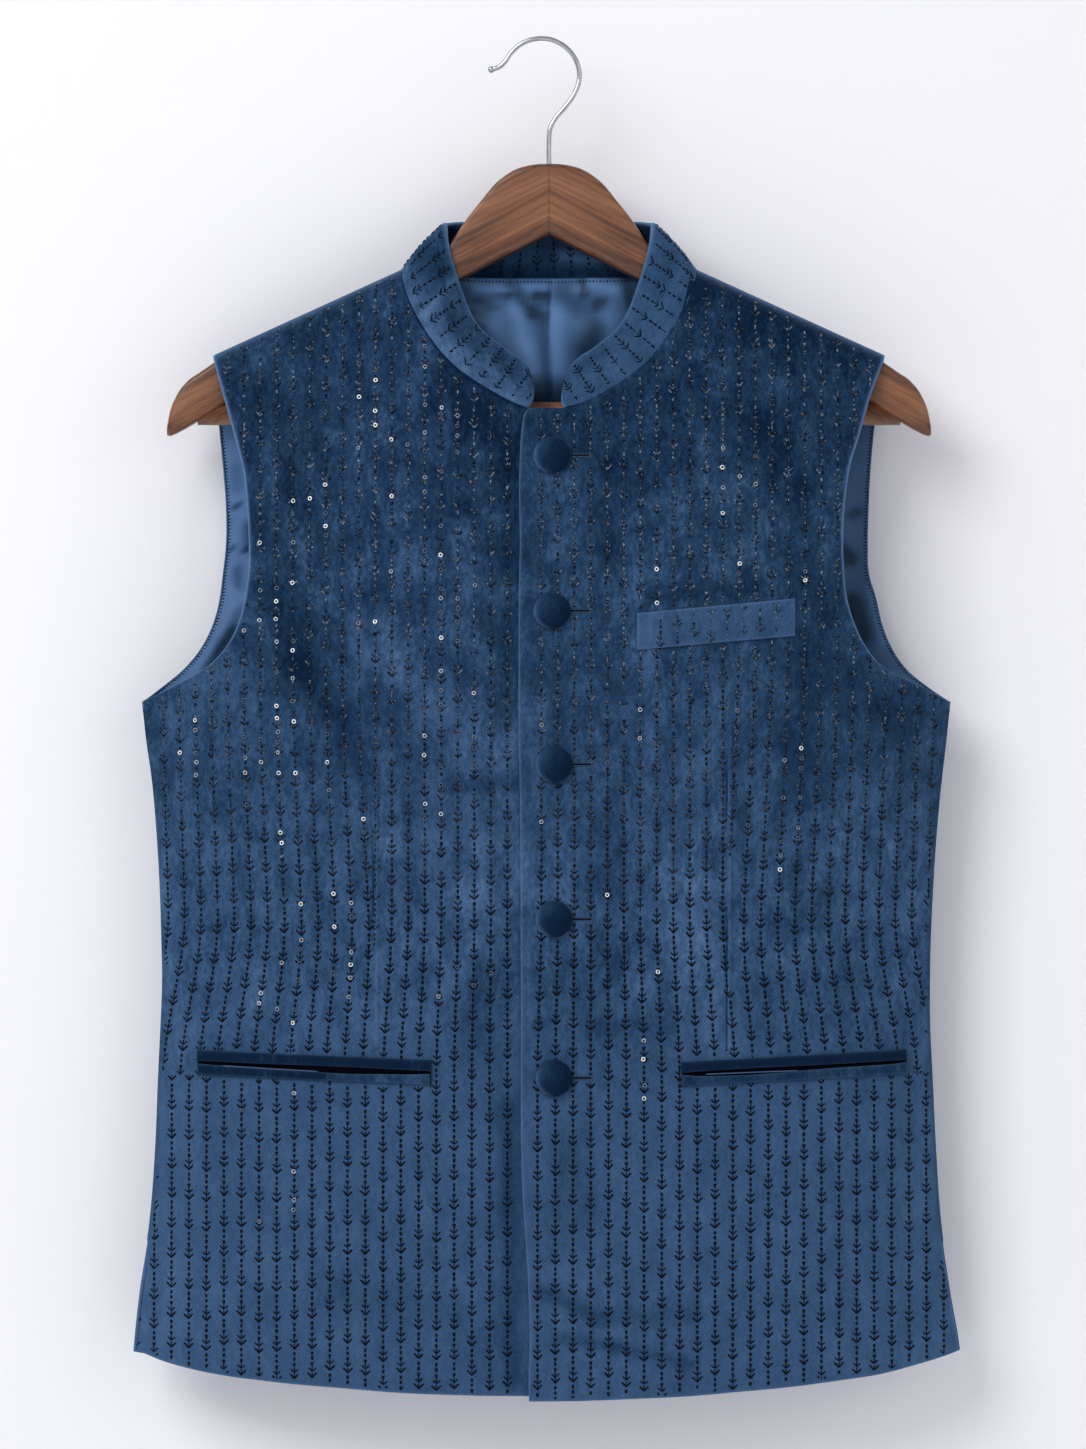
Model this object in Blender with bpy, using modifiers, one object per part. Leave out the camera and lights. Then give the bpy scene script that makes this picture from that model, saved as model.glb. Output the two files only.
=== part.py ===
"""Sleeveless velvet jacket with a band collar, hanging flat on a wooden hanger.

Sizes in the tables are millimetres. "u" is the distance from the jacket's centre plane, positive
towards the photo's right, "drop" is the distance down from the inside top of the hanger's hook, and
y grows away from the viewer. The hook's inside top is the origin.
"""

import math

import bmesh
import bpy
import numpy as np
from mathutils import Matrix

MM = 0.001
NAME = "velvet_jacket"

# The centre plane of the jacket, to the right of the hook's inside top.
CENTRE_X = 4.8

# Cloth thicknesses and the space between sewn pieces.
WALL = 2.0
COLLAR_WALL = 2.4
LINING_WALL = 1.0
WELT_WALL = 1.5
SEAM_GAP = 0.2
LAYER_GAP = 0.35
COLLAR_RAISE = 0.75
SIDE_MITRE = 3.2

# The straight shoulder line, from the neck point to the shoulder tip.
NECK_POINT = (88.4, 137.1)
SHOULDER_TIP = (201.8, 188.8)
SHOULDER_FALL = (SHOULDER_TIP[1] - NECK_POINT[1]) / (SHOULDER_TIP[0] - NECK_POINT[0])

# How the cloth's depth grows below the shoulder line.
RIDGE_SHARE = 0.55
RIDGE_ROUND = 16.0
RIDGE_SPREAD = 170.0

# Half widths of the cloth, left and right in the photo, by drop. Above the armpit they only shape
# the depth, since the armhole is cut inside them.
SIDE_COLUMNS = ("drop", "left", "right")
SIDE_ROWS = (
    (100.0, 340.0, 340.0),
    (200.0, 304.0, 302.0),
    (300.0, 266.0, 263.0),
    (396.6, 244.5, 241.2),
    (420.6, 241.8, 238.6),
    (442.8, 238.6, 236.0),
    (471.6, 236.0, 233.2),
    (504.0, 234.0, 231.0),
    (536.4, 232.9, 229.4),
    (565.2, 232.4, 228.8),
    (592.2, 233.4, 229.0),
    (621.6, 234.8, 230.4),
    (665.4, 236.6, 232.5),
    (710.4, 240.2, 235.7),
    (752.4, 246.6, 241.8),
    (782.4, 249.8, 247.0),
    (830.0, 253.0, 250.0),
)

# Depth of the front and of the back from the seam plane, and the seam plane's own y, by drop.
DEPTH_COLUMNS = ("drop", "front", "back", "seam_y")
DEPTH_ROWS = (
    (100.0, 36.0, 30.0, 0.0),
    (200.0, 36.0, 30.0, 0.0),
    (400.0, 36.0, 29.0, 4.0),
    (600.0, 33.0, 26.0, 4.0),
    (720.0, 31.0, 24.0, 4.0),
    (830.0, 29.0, 23.0, 4.0),
)

# Armhole edges from the shoulder tip down to the armpit, as half widths.
FRONT_ARMHOLE_COLUMNS = ("drop", "left", "right")
FRONT_ARMHOLE_ROWS = (
    (188.8, 201.8, 201.8),
    (213.0, 195.0, 192.6),
    (236.0, 188.6, 186.0),
    (256.0, 183.3, 180.0),
    (277.0, 180.7, 177.0),
    (301.0, 179.5, 175.8),
    (317.0, 179.5, 176.3),
    (334.0, 181.8, 178.0),
    (349.0, 185.6, 182.4),
    (361.6, 191.7, 188.4),
    (373.8, 202.4, 197.7),
    (382.0, 214.8, 211.4),
    (389.0, 228.6, 226.7),
    (396.6, 244.5, 241.2),
)
BACK_ARMHOLE_ROWS = (
    (188.8, 201.8, 201.8),
    (231.0, 198.6, 196.0),
    (256.0, 196.3, 193.8),
    (277.0, 194.8, 192.8),
    (302.0, 194.8, 192.3),
    (320.0, 196.8, 193.2),
    (334.0, 198.6, 197.4),
    (349.0, 202.4, 200.8),
    (364.5, 210.0, 206.9),
    (377.5, 220.8, 216.0),
    (386.5, 231.6, 226.7),
    (396.6, 244.5, 241.2),
)

# The collar, as one half: where its lower edge is sewn and where its top edge stands. Front rows
# take their lower y from the front panel and back rows from the back panel.
COLLAR_COLUMNS = ("seam_u", "seam_drop", "top_u", "top_y", "top_drop")
COLLAR_FRONT_ROWS = (
    (13.5, 220.6, 9.2, -14.5, 206.5),
    (17.5, 219.4, 12.6, -13.5, 195.5),
    (24.0, 216.6, 18.5, -12.5, 189.2),
    (32.2, 212.1, 24.4, -11.5, 185.4),
    (41.9, 206.4, 31.6, -10.8, 180.0),
    (50.3, 200.7, 36.5, -10.4, 176.2),
    (58.8, 193.7, 41.2, -10.2, 171.4),
    (66.7, 184.8, 45.9, -10.0, 164.0),
    (74.0, 174.5, 49.7, -10.0, 155.2),
    (80.2, 164.0, 53.2, -10.0, 145.4),
    (85.2, 152.6, 57.2, -9.8, 132.5),
    (87.8, 143.4, 61.0, -7.6, 117.5),
    (88.3, 138.9, 62.3, -4.4, 110.5),
    (88.4, 137.1, 62.8, 0.0, 108.6),
)
COLLAR_BACK_ROWS = (
    (85.8, 137.4, 61.6, 5.0, 108.3),
    (79.0, 138.4, 57.6, 9.0, 107.9),
    (63.0, 140.6, 47.5, 12.0, 107.5),
    (43.0, 141.7, 33.0, 13.5, 107.2),
    (21.0, 142.0, 16.2, 14.0, 107.0),
    (0.0, 142.0, 0.0, 14.2, 107.0),
)

# The front edge of the lapping front, from the top corner down to the hem.
LAP_EDGE_COLUMNS = ("drop", "u")
LAP_EDGE_ROWS = (
    (222.6, -13.2),
    (227.0, -15.6),
    (242.4, -17.0),
    (268.2, -18.0),
    (294.6, -17.5),
    (333.6, -18.0),
    (398.4, -18.4),
    (455.4, -17.4),
    (575.4, -16.8),
    (695.4, -15.6),
    (728.4, -13.4),
    (757.8, -12.0),
    (778.8, -11.6),
    (810.0, -12.2),
    (814.4, -10.6),
)
UNDER_EDGE_U = 17.0
UNDER_EDGE_TOP = 222.4
UNDER_EDGE_HEM = 811.6
LAP_TOP = ((-13.2, 222.6), (-9.6, 221.3), (0.0, 221.1))
UNDER_TOP = ((17.0, 222.4), (6.0, 222.2), (-5.0, 221.9))
LAP_DEPTH = 2.7
LAP_START = -42.0
LAP_WIDTH = 20.0

# The hem, from the side to the centre.
HEM_COLUMNS = ("u", "drop")
UNDER_HEM_ROWS = (
    (-248.6, 785.0),
    (-234.0, 791.0),
    (-214.8, 796.0),
    (-193.0, 799.8),
    (-171.7, 802.2),
    (-150.0, 804.5),
    (-129.0, 806.2),
    (-89.4, 809.4),
    (-50.0, 810.8),
    (-13.0, 811.4),
    (17.0, 811.6),
)
LAP_HEM_ROWS = (
    (-10.6, 814.4),
    (10.0, 814.3),
    (50.0, 813.0),
    (90.6, 810.9),
    (112.0, 809.0),
    (144.0, 806.0),
    (176.0, 802.0),
    (197.8, 799.0),
    (219.0, 794.0),
    (240.6, 788.0),
    (247.0, 785.6),
)
BACK_HEM_ROWS = (
    (-249.9, 786.4),
    (-200.0, 797.0),
    (-150.0, 803.0),
    (-80.0, 808.0),
    (0.0, 809.6),
    (80.0, 808.0),
    (150.0, 803.0),
    (200.0, 795.5),
    (247.1, 785.4),
)

# The vent at the photo's left: the front edge steps in from the seam below this drop.
VENT_TOP = 712.0
VENT_INSET = 2.4

# Folds pressed into the cloth: a line from one end to the other, its width and height outwards.
FOLD_COLUMNS = ("u_start", "drop_start", "u_end", "drop_end", "width", "height")
FRONT_FOLD_ROWS = (
    (-76.0, 196.0, -26.0, 236.0, 10.0, 2.4),
    (-88.0, 214.0, -44.0, 262.0, 13.0, -1.6),
    (12.0, 232.0, 62.0, 218.0, 8.0, 1.8),
    (66.0, 226.0, 104.0, 196.0, 13.0, -1.4),
    (-64.0, 300.0, -118.0, 520.0, 32.0, 2.4),
    (72.0, 300.0, 122.0, 520.0, 32.0, 2.2),
    (-146.0, 640.0, -164.0, 800.0, 26.0, 2.6),
    (-78.0, 650.0, -70.0, 800.0, 26.0, -1.8),
    (140.0, 640.0, 158.0, 800.0, 26.0, 2.4),
    (74.0, 650.0, 66.0, 720.0, 26.0, -1.6),
    (14.0, 753.0, 122.0, 757.0, 8.0, 1.3),
    (36.0, 777.0, 126.0, 771.0, 8.0, 1.1),
    (-224.0, 584.0, -212.0, 622.0, 7.0, -1.8),
    (216.0, 598.0, 221.0, 624.0, 6.0, -1.4),
)
BACK_FOLD_ROWS = (
    (-92.0, 430.0, -112.0, 800.0, 34.0, 2.6),
    (88.0, 430.0, 108.0, 800.0, 34.0, 2.4),
    (0.0, 260.0, 0.0, 800.0, 26.0, -1.8),
)

# Pockets, by their corners on the front panel.
WELT_COLUMNS = ("name", "left_u", "left_top", "left_bottom", "right_u", "right_top", "right_bottom")
WELT_ROWS = (
    ("chest_pocket_welt", 52.5, 343.7, 365.6, 146.7, 334.8, 357.2),
    ("hip_pocket_right_upper", -210.2, 605.1, 611.6, -70.0, 610.4, 617.0),
    ("hip_pocket_right_lower", -209.6, 613.0, 619.8, -71.0, 618.5, 625.1),
    ("hip_pocket_left_upper", 78.6, 611.6, 617.9, 213.6, 604.8, 611.1),
    ("hip_pocket_left_lower", 79.2, 619.2, 625.8, 213.6, 612.5, 619.5),
)

# Buttons down the centre front.
BUTTON_COLUMNS = ("name", "u", "drop")
BUTTON_ROWS = (
    ("button_1", 1.8, 249.6),
    ("button_2", 1.8, 342.3),
    ("button_3", 3.0, 433.8),
    ("button_4", 3.0, 526.2),
    ("button_5", 3.0, 621.0),
)
BUTTON_LIFT = 0.7
BUTTON_SIDES = 20
BUTTON_CROWN = 6.5
BUTTON_PROFILE_COLUMNS = ("radius", "forward")
BUTTON_PROFILE_ROWS = (
    (3.6, 6.2),
    (7.0, 5.3),
    (9.6, 3.7),
    (11.0, 1.9),
    (10.5, 0.5),
    (8.4, 0.0),
    (1.7, 0.0),
)
BUTTONHOLE_LENGTH = 22.0
BUTTONHOLE_WIDTH = 0.9
SHANK_HOLE_RADIUS = 2.3

# The wooden hanger: its outline by half width, its half thickness and how far it bends forward.
HANGER_COLUMNS = ("u", "top", "bottom", "half_thick", "forward")
HANGER_ROWS = (
    (0.0, 73.8, 116.6, 6.2, 0.0),
    (6.0, 74.0, 119.6, 6.2, 0.0),
    (13.0, 75.0, 123.2, 6.2, 0.0),
    (20.5, 77.4, 127.0, 6.2, 0.0),
    (27.0, 81.4, 130.2, 6.2, 0.0),
    (32.1, 85.6, 132.8, 6.2, 0.0),
    (40.2, 95.4, 137.0, 6.2, 0.0),
    (47.0, 103.8, 140.4, 6.2, 0.0),
    (52.2, 111.0, 143.0, 6.2, 0.0),
    (59.7, 122.0, 146.9, 6.2, 0.0),
    (70.0, 131.6, 152.4, 6.3, 0.1),
    (88.0, 140.4, 161.9, 6.4, 0.2),
    (120.0, 155.0, 178.8, 6.9, 0.5),
    (150.0, 168.7, 194.6, 7.4, 0.8),
    (180.0, 182.4, 210.4, 8.0, 1.1),
    (195.0, 189.6, 218.4, 8.3, 1.3),
    (203.0, 194.8, 223.6, 8.4, 1.4),
    (208.5, 198.6, 227.0, 8.3, 1.5),
    (217.5, 205.2, 232.4, 7.9, 1.5),
    (223.4, 213.2, 235.6, 7.2, 1.6),
    (227.4, 223.2, 237.2, 6.0, 1.6),
    (229.0, 231.0, 236.6, 4.4, 1.6),
)
HANGER_EDGE_ROUND = 5.0
HANGER_CORNER_ANGLES = (0.0, 45.0, 90.0)
BAR_DROP = 223.6
BAR_RADIUS = 7.0
BAR_HALF_LENGTH = 211.0
BAR_Y = -1.4
BAR_BORE_SPARE = 0.25
BAR_SIDES = 20

# The steel hook, its wire's middle from the stem to the ball, in x and drop from the origin.
HOOK_RADIUS = 1.5
HOOK_DEPTH_IN_WOOD = 11.0
STEM_HOLE_SPARE = 0.3
STEM_HOLE_TOP = 60.0
HOOK_COLUMNS = ("x", "drop", "radius")
HOOK_ROWS = (
    (4.8, 73.8, 1.5),
    (4.8, 60.0, 1.5),
    (5.6, 52.0, 1.5),
    (8.9, 46.0, 1.5),
    (14.6, 39.4, 1.5),
    (19.5, 32.6, 1.5),
    (22.2, 26.4, 1.5),
    (23.1, 20.4, 1.5),
    (21.8, 13.6, 1.5),
    (18.4, 7.4, 1.5),
    (13.5, 2.7, 1.5),
    (7.3, -0.5, 1.5),
    (0.2, -1.6, 1.5),
    (-7.0, -0.5, 1.5),
    (-13.2, 2.6, 1.5),
    (-18.2, 7.4, 1.5),
    (-21.8, 12.6, 1.5),
    (-24.6, 15.2, 1.5),
    (-28.0, 16.6, 1.6),
    (-28.9, 16.9, 2.1),
    (-30.2, 17.2, 2.1),
    (-31.2, 17.4, 1.4),
)

# Row positions between the armpit and the shoulder, close together near the shoulder line.
UPPER_SHARES = (0.0, 0.11, 0.22, 0.33, 0.44, 0.55, 0.66, 0.76, 0.85, 0.915, 0.957, 0.98, 0.993, 1.0)
LOWER_ROW_COUNT = 15
SHOULDER_SHARES = (0.17, 0.34, 0.51, 0.68, 0.84, 0.95, 1.0)
BORDER_SHARE = 0.013
ARMPIT_DROP = 396.6

COLOURS = {
    "velvet": (0.020, 0.055, 0.120, 1.0),
    "velvet_light": (0.035, 0.080, 0.160, 1.0),
    "velvet_dark": (0.008, 0.022, 0.055, 1.0),
    "satin": (0.060, 0.130, 0.280, 1.0),
    "wood": (0.210, 0.100, 0.060, 1.0),
    "steel": (0.620, 0.630, 0.650, 1.0),
}
ROUGHNESS = {
    "velvet": 0.9,
    "velvet_light": 0.9,
    "velvet_dark": 0.9,
    "satin": 0.4,
    "wood": 0.35,
    "steel": 0.3,
}


def column(rows, names, wanted):
    """One named column of a table as an array."""
    return np.array([row[names.index(wanted)] for row in rows], dtype=float)


def smooth_step(share):
    """Zero to one with level ends."""
    held = np.clip(share, 0.0, 1.0)
    return held * held * (3.0 - 2.0 * held)


def half_width(u, drop):
    """Half width of the cloth on the side that u lies on."""
    drops = column(SIDE_ROWS, SIDE_COLUMNS, "drop")
    left = np.interp(drop, drops, column(SIDE_ROWS, SIDE_COLUMNS, "left"))
    right = np.interp(drop, drops, column(SIDE_ROWS, SIDE_COLUMNS, "right"))
    return np.where(np.asarray(u) < 0.0, left, right)


def depth_value(drop, wanted):
    """A column of the depth table at a drop."""
    drops = column(DEPTH_ROWS, DEPTH_COLUMNS, "drop")
    return np.interp(drop, drops, column(DEPTH_ROWS, DEPTH_COLUMNS, wanted))


def cloth_share(u, drop):
    """How much of the full depth the cloth has here: none at the side seams and shoulder line."""
    across = np.clip(np.abs(u) / half_width(u, drop), 0.0, 1.0)
    lens = 0.35 * (1.0 - across ** 2) + 0.65 * (1.0 - across ** 6)
    below = np.maximum(drop - NECK_POINT[1] - (np.abs(u) - NECK_POINT[0]) * SHOULDER_FALL, 0.0)
    turn = np.clip(1.0 - below / RIDGE_ROUND, 0.0, 1.0)
    ridge = RIDGE_SHARE * np.sqrt(1.0 - turn * turn)
    ridge = ridge + (1.0 - RIDGE_SHARE) * smooth_step(below / RIDGE_SPREAD)
    return lens * ridge


def fold_height(rows, u, drop):
    """The sum of the folds at a point, fading out at the side seams."""
    total = np.zeros(np.broadcast(u, drop).shape)
    for u_start, drop_start, u_end, drop_end, width, height in rows:
        along_u = u_end - u_start
        along_drop = drop_end - drop_start
        length_squared = along_u ** 2 + along_drop ** 2
        share = ((u - u_start) * along_u + (drop - drop_start) * along_drop) / length_squared
        share = np.clip(share, 0.0, 1.0)
        away_u = u - u_start - share * along_u
        away_drop = drop - drop_start - share * along_drop
        total = total + height * np.exp(-(away_u ** 2 + away_drop ** 2) / width ** 2)
    fade = smooth_step((half_width(u, drop) - np.abs(u)) / 14.0)
    return total * fade


def lap_push(u):
    """How far the under front is pushed in beneath the lapping front."""
    return LAP_DEPTH * smooth_step((u - LAP_START) / LAP_WIDTH)


def lapping_y(u, drop):
    """Outside of the lapping front."""
    depth = depth_value(drop, "front") * cloth_share(u, drop)
    return depth_value(drop, "seam_y") - depth - fold_height(FRONT_FOLD_ROWS, u, drop)


def under_y(u, drop):
    """Outside of the under front."""
    return lapping_y(u, drop) + lap_push(u)


def back_y(u, drop):
    """Outside of the back."""
    depth = depth_value(drop, "back") * cloth_share(u, drop)
    return depth_value(drop, "seam_y") + depth + fold_height(BACK_FOLD_ROWS, u, drop)


def surface_points(height, places):
    """Points x, y, z on a cloth surface at places given as u and drop."""
    u = places[..., 0]
    drop = places[..., 1]
    return np.stack([u, height(u, drop), -drop], axis=-1)


def inward_normals(height, places, facing):
    """Unit normals pointing into the jacket; facing is -1 for a front and 1 for the back."""
    step = 0.4
    u = places[..., 0]
    drop = places[..., 1]
    slope_u = (height(u + step, drop) - height(u - step, drop)) / (2.0 * step)
    slope_z = (height(u, drop - step) - height(u, drop + step)) / (2.0 * step)
    normals = np.stack([slope_u, -np.ones_like(slope_u), slope_z], axis=-1) * facing
    return normals / np.linalg.norm(normals, axis=-1, keepdims=True)


def along(points, shares):
    """Places at shares of the length of a run of straight lines."""
    points = np.asarray(points, dtype=float)
    steps = np.linalg.norm(np.diff(points, axis=0), axis=1)
    lengths = np.concatenate([[0.0], np.cumsum(steps)])
    wanted = np.asarray(shares) * lengths[-1]
    return np.stack([np.interp(wanted, lengths, points[:, i]) for i in range(2)], axis=-1)


def length_shares(points):
    """Each point's share of the length of its run."""
    steps = np.linalg.norm(np.diff(points, axis=0), axis=1)
    lengths = np.concatenate([[0.0], np.cumsum(steps)])
    return lengths / lengths[-1]


def patch(bottom, top, first, last):
    """A grid of places between four edges that meet at the corners."""
    across = (length_shares(bottom) + length_shares(top)) / 2.0
    upward = (length_shares(first) + length_shares(last)) / 2.0
    a = across[None, :, None]
    b = upward[:, None, None]
    grid = (1.0 - b) * bottom[None] + b * top[None]
    grid = grid + (1.0 - a) * first[:, None] + a * last[:, None]
    corners = (1.0 - a) * (1.0 - b) * bottom[0] + a * (1.0 - b) * bottom[-1]
    corners = corners + (1.0 - a) * b * top[0] + a * b * top[-1]
    return grid - corners


def shoulder_places(side):
    """Places along the shoulder line, after the neck point and on to the tip."""
    line = along((NECK_POINT, SHOULDER_TIP), SHOULDER_SHARES)
    return line * (side, 1.0)


def armhole_places(rows, side, shares):
    """Places along an armhole edge, from the armpit up to the shoulder tip."""
    wanted = "left" if side < 0 else "right"
    drops = column(rows, FRONT_ARMHOLE_COLUMNS, "drop")
    widths = column(rows, FRONT_ARMHOLE_COLUMNS, wanted)
    line = np.stack([side * widths, drops], axis=-1)[::-1]
    return along(line, shares)


def side_places(side, hem_corner, inset=0.0):
    """Places up a side seam from the hem corner to the armpit."""
    drops = np.linspace(hem_corner[1], ARMPIT_DROP, LOWER_ROW_COUNT + 1)
    widths = half_width(np.full(drops.shape, side), drops)
    widths = widths - inset * smooth_step((drops - VENT_TOP) / 30.0)
    places = np.stack([side * widths, drops], axis=-1)
    return places


def front_places(side, edge, top_run, hem_rows):
    """The grid of a front: rows from the hem to the top, columns from the front edge outwards."""
    neck = np.array([(side * row[0], row[1]) for row in COLLAR_FRONT_ROWS])
    top = np.concatenate([np.array(top_run), neck, shoulder_places(side)])
    hem = np.array(hem_rows) if hem_rows[0][0] > -20.0 else np.array(hem_rows)[::-1]
    inset = VENT_INSET if side < 0 else 0.0
    seam = side_places(side, hem[-1], inset)
    hem[-1] = seam[0]
    bottom = along(hem, np.linspace(0.0, 1.0, len(top)))
    arm = armhole_places(FRONT_ARMHOLE_ROWS, side, UPPER_SHARES)[1:]
    last = np.concatenate([seam, arm])
    lower = edge[edge[:, 1] >= ARMPIT_DROP]
    joint = np.array([[np.interp(ARMPIT_DROP, edge[:, 1], edge[:, 0]), ARMPIT_DROP]])
    upper = np.concatenate([edge[edge[:, 1] < ARMPIT_DROP], joint])
    lower = np.concatenate([joint, lower])
    first_low = along(lower[::-1], np.linspace(0.0, 1.0, LOWER_ROW_COUNT + 1))
    first_high = along(upper[::-1], UPPER_SHARES)[1:]
    first = np.concatenate([first_low, first_high])
    first[0] = bottom[0]
    first[-1] = top[0]
    return patch(bottom, top, first, last), len(top_run), len(top_run) + len(neck)


def unit(vectors):
    """Vectors made one long."""
    return vectors / np.linalg.norm(vectors, axis=-1, keepdims=True)


def collar_lines(side):
    """Seam points, top points and shared mitre directions of one half of the collar."""
    height = under_y if side < 0 else lapping_y
    seam = []
    top = []
    panel = []
    groups = ((COLLAR_FRONT_ROWS, height, -1.0), (COLLAR_BACK_ROWS, back_y, 1.0))
    for rows, surface, facing in groups:
        for seam_u, seam_drop, top_u, top_y, top_drop in rows:
            place = np.array([side * seam_u, seam_drop])
            seam.append(surface_points(surface, place))
            top.append((side * top_u, top_y, -top_drop))
            panel.append(inward_normals(surface, place, facing))
    seam = np.array(seam)
    top = np.array(top)
    panel = np.array(panel)
    neck_index = len(COLLAR_FRONT_ROWS) - 1
    tilt = math.atan(SHOULDER_FALL)
    panel[neck_index] = (-side * math.sin(tilt), 0.0, -math.cos(tilt))
    tangent = np.gradient(seam, axis=0)
    band = unit(np.cross(top - seam, tangent)) * side
    mitre = unit(panel + band)
    mitre[neck_index] = unit(mitre[neck_index] * (1.0, 0.0, 1.0))
    stretch = 1.0 / np.maximum((mitre * panel).sum(axis=1, keepdims=True), 0.62)
    return seam, top, band, mitre * stretch, neck_index


def coloured(item, colour):
    """Gives an object a material of its own."""
    finish = bpy.data.materials.new(item.name + "_finish")
    finish.use_nodes = True
    principled = finish.node_tree.nodes["Principled BSDF"]
    principled.inputs["Base Color"].default_value = COLOURS[colour]
    principled.inputs["Roughness"].default_value = ROUGHNESS[colour]
    principled.inputs["Metallic"].default_value = 1.0 if colour == "steel" else 0.0
    item.data.materials.append(finish)


def placed(name, data, place, collection, centre):
    """An object at a place in millimetres, carried by the jacket's centre plane."""
    item = bpy.data.objects.new(name, data)
    collection.objects.link(item)
    item.parent = centre
    item.location = [value * MM for value in place]
    return item


def mesh_from(name, shape):
    """A mesh with its faces pointing out, made from a bmesh."""
    bmesh.ops.recalc_face_normals(shape, faces=shape.faces)
    mesh = bpy.data.meshes.new(name)
    shape.to_mesh(mesh)
    shape.free()
    mesh.shade_smooth()
    mesh.set_sharp_from_angle(angle=math.radians(40.0))
    return mesh


def sheet_solid(name, outer, inner, colour, collection, centre):
    """A sheet of cloth: a grid laid on its outside, then extruded to its inside."""
    rows, columns = outer.shape[:2]
    outside = outer.reshape(-1, 3) * MM
    inside = inner.reshape(-1, 3) * MM
    shape = bmesh.new()
    bmesh.ops.create_grid(shape, x_segments=columns - 1, y_segments=rows - 1, size=1.0)
    number = shape.verts.layers.int.new("number")
    for index, vertex in enumerate(shape.verts):
        vertex[number] = index
        vertex.co = outside[index]
    bmesh.ops.triangulate(shape, faces=shape.faces, quad_method="FIXED")
    grown = bmesh.ops.extrude_face_region(shape, geom=list(shape.faces))
    for vertex in grown["geom"]:
        if isinstance(vertex, bmesh.types.BMVert):
            vertex.co = inside[vertex[number]]
    item = placed(name, mesh_from(name, shape), (0.0, 0.0, 0.0), collection, centre)
    coloured(item, colour)
    return item


def round_bar(name, length, radius, sides):
    """The mesh of a straight round bar along x."""
    shape = bmesh.new()
    bmesh.ops.create_cone(
        shape,
        cap_ends=True,
        segments=sides,
        radius1=radius * MM,
        radius2=radius * MM,
        depth=length * MM,
        matrix=Matrix.Rotation(math.radians(90.0), 4, "Y"),
    )
    return mesh_from(name, shape)


def cut(item, cutter):
    """Cuts one solid out of another."""
    modifier = item.modifiers.new("cut_" + cutter.name, "BOOLEAN")
    modifier.operation = "DIFFERENCE"
    modifier.solver = "EXACT"
    modifier.object = cutter
    cutter.hide_render = True
    cutter.display_type = "WIRE"


def build_front(side, name, collection, centre):
    """One front with its mitred side seam, shoulder and neckline."""
    if side < 0:
        height = under_y
        edge = np.array([(UNDER_EDGE_U, UNDER_EDGE_TOP), (UNDER_EDGE_U, UNDER_EDGE_HEM)])
        places, neck_start, neck_end = front_places(side, edge, UNDER_TOP, UNDER_HEM_ROWS)
    else:
        height = lapping_y
        edge = np.array([(row[1], row[0]) for row in LAP_EDGE_ROWS])
        places, neck_start, neck_end = front_places(side, edge, LAP_TOP, LAP_HEM_ROWS)
    outer = surface_points(height, places)
    step = inward_normals(height, places, -1.0) * WALL
    step[: LOWER_ROW_COUNT + 1, -1] = (-side * SIDE_MITRE, 0.0, 0.0)
    mitre = collar_lines(side)[3]
    step[-1, neck_start:neck_end] = mitre[: neck_end - neck_start] * WALL
    tilt = math.atan(SHOULDER_FALL)
    step[-1, neck_end:] = np.array([-side * math.sin(tilt), 0.0, -math.cos(tilt)]) * WALL
    inner = outer + step
    seam = np.zeros(outer.shape[:2], dtype=bool)
    seam[: LOWER_ROW_COUNT + 1, -1] = True
    seam[-1, neck_end - 1 :] = True
    outer[seam, 1] -= SEAM_GAP
    inner[seam, 1] -= SEAM_GAP
    return sheet_solid(name, outer, inner, "velvet", collection, centre)


def back_grid():
    """Places of the back from the hem to the top, and where its neckline lies in the top row."""
    neck_left = [(-row[0], row[1]) for row in COLLAR_BACK_ROWS]
    neck_right = [(row[0], row[1]) for row in COLLAR_BACK_ROWS[::-1][1:]]
    neck = [(-NECK_POINT[0], NECK_POINT[1])] + neck_left + neck_right + [NECK_POINT]
    top = np.concatenate([shoulder_places(-1)[::-1], np.array(neck), shoulder_places(1)])
    hem = np.array(BACK_HEM_ROWS)
    left_seam = side_places(-1, hem[0])
    right_seam = side_places(1, hem[-1])
    hem[0] = left_seam[0]
    hem[-1] = right_seam[0]
    inside = np.linspace(0.0, 1.0, len(top) - 2)[1:-1]
    shares = np.concatenate([[0.0, BORDER_SHARE], inside, [1.0 - BORDER_SHARE, 1.0]])
    bottom = along(hem, shares)
    left_arm = armhole_places(BACK_ARMHOLE_ROWS, -1, UPPER_SHARES)[1:]
    right_arm = armhole_places(BACK_ARMHOLE_ROWS, 1, UPPER_SHARES)[1:]
    first = np.concatenate([left_seam, left_arm])
    last = np.concatenate([right_seam, right_arm])
    first[-1] = top[0]
    last[-1] = top[-1]
    return patch(bottom, top, first, last), len(SHOULDER_SHARES), len(neck)


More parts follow.
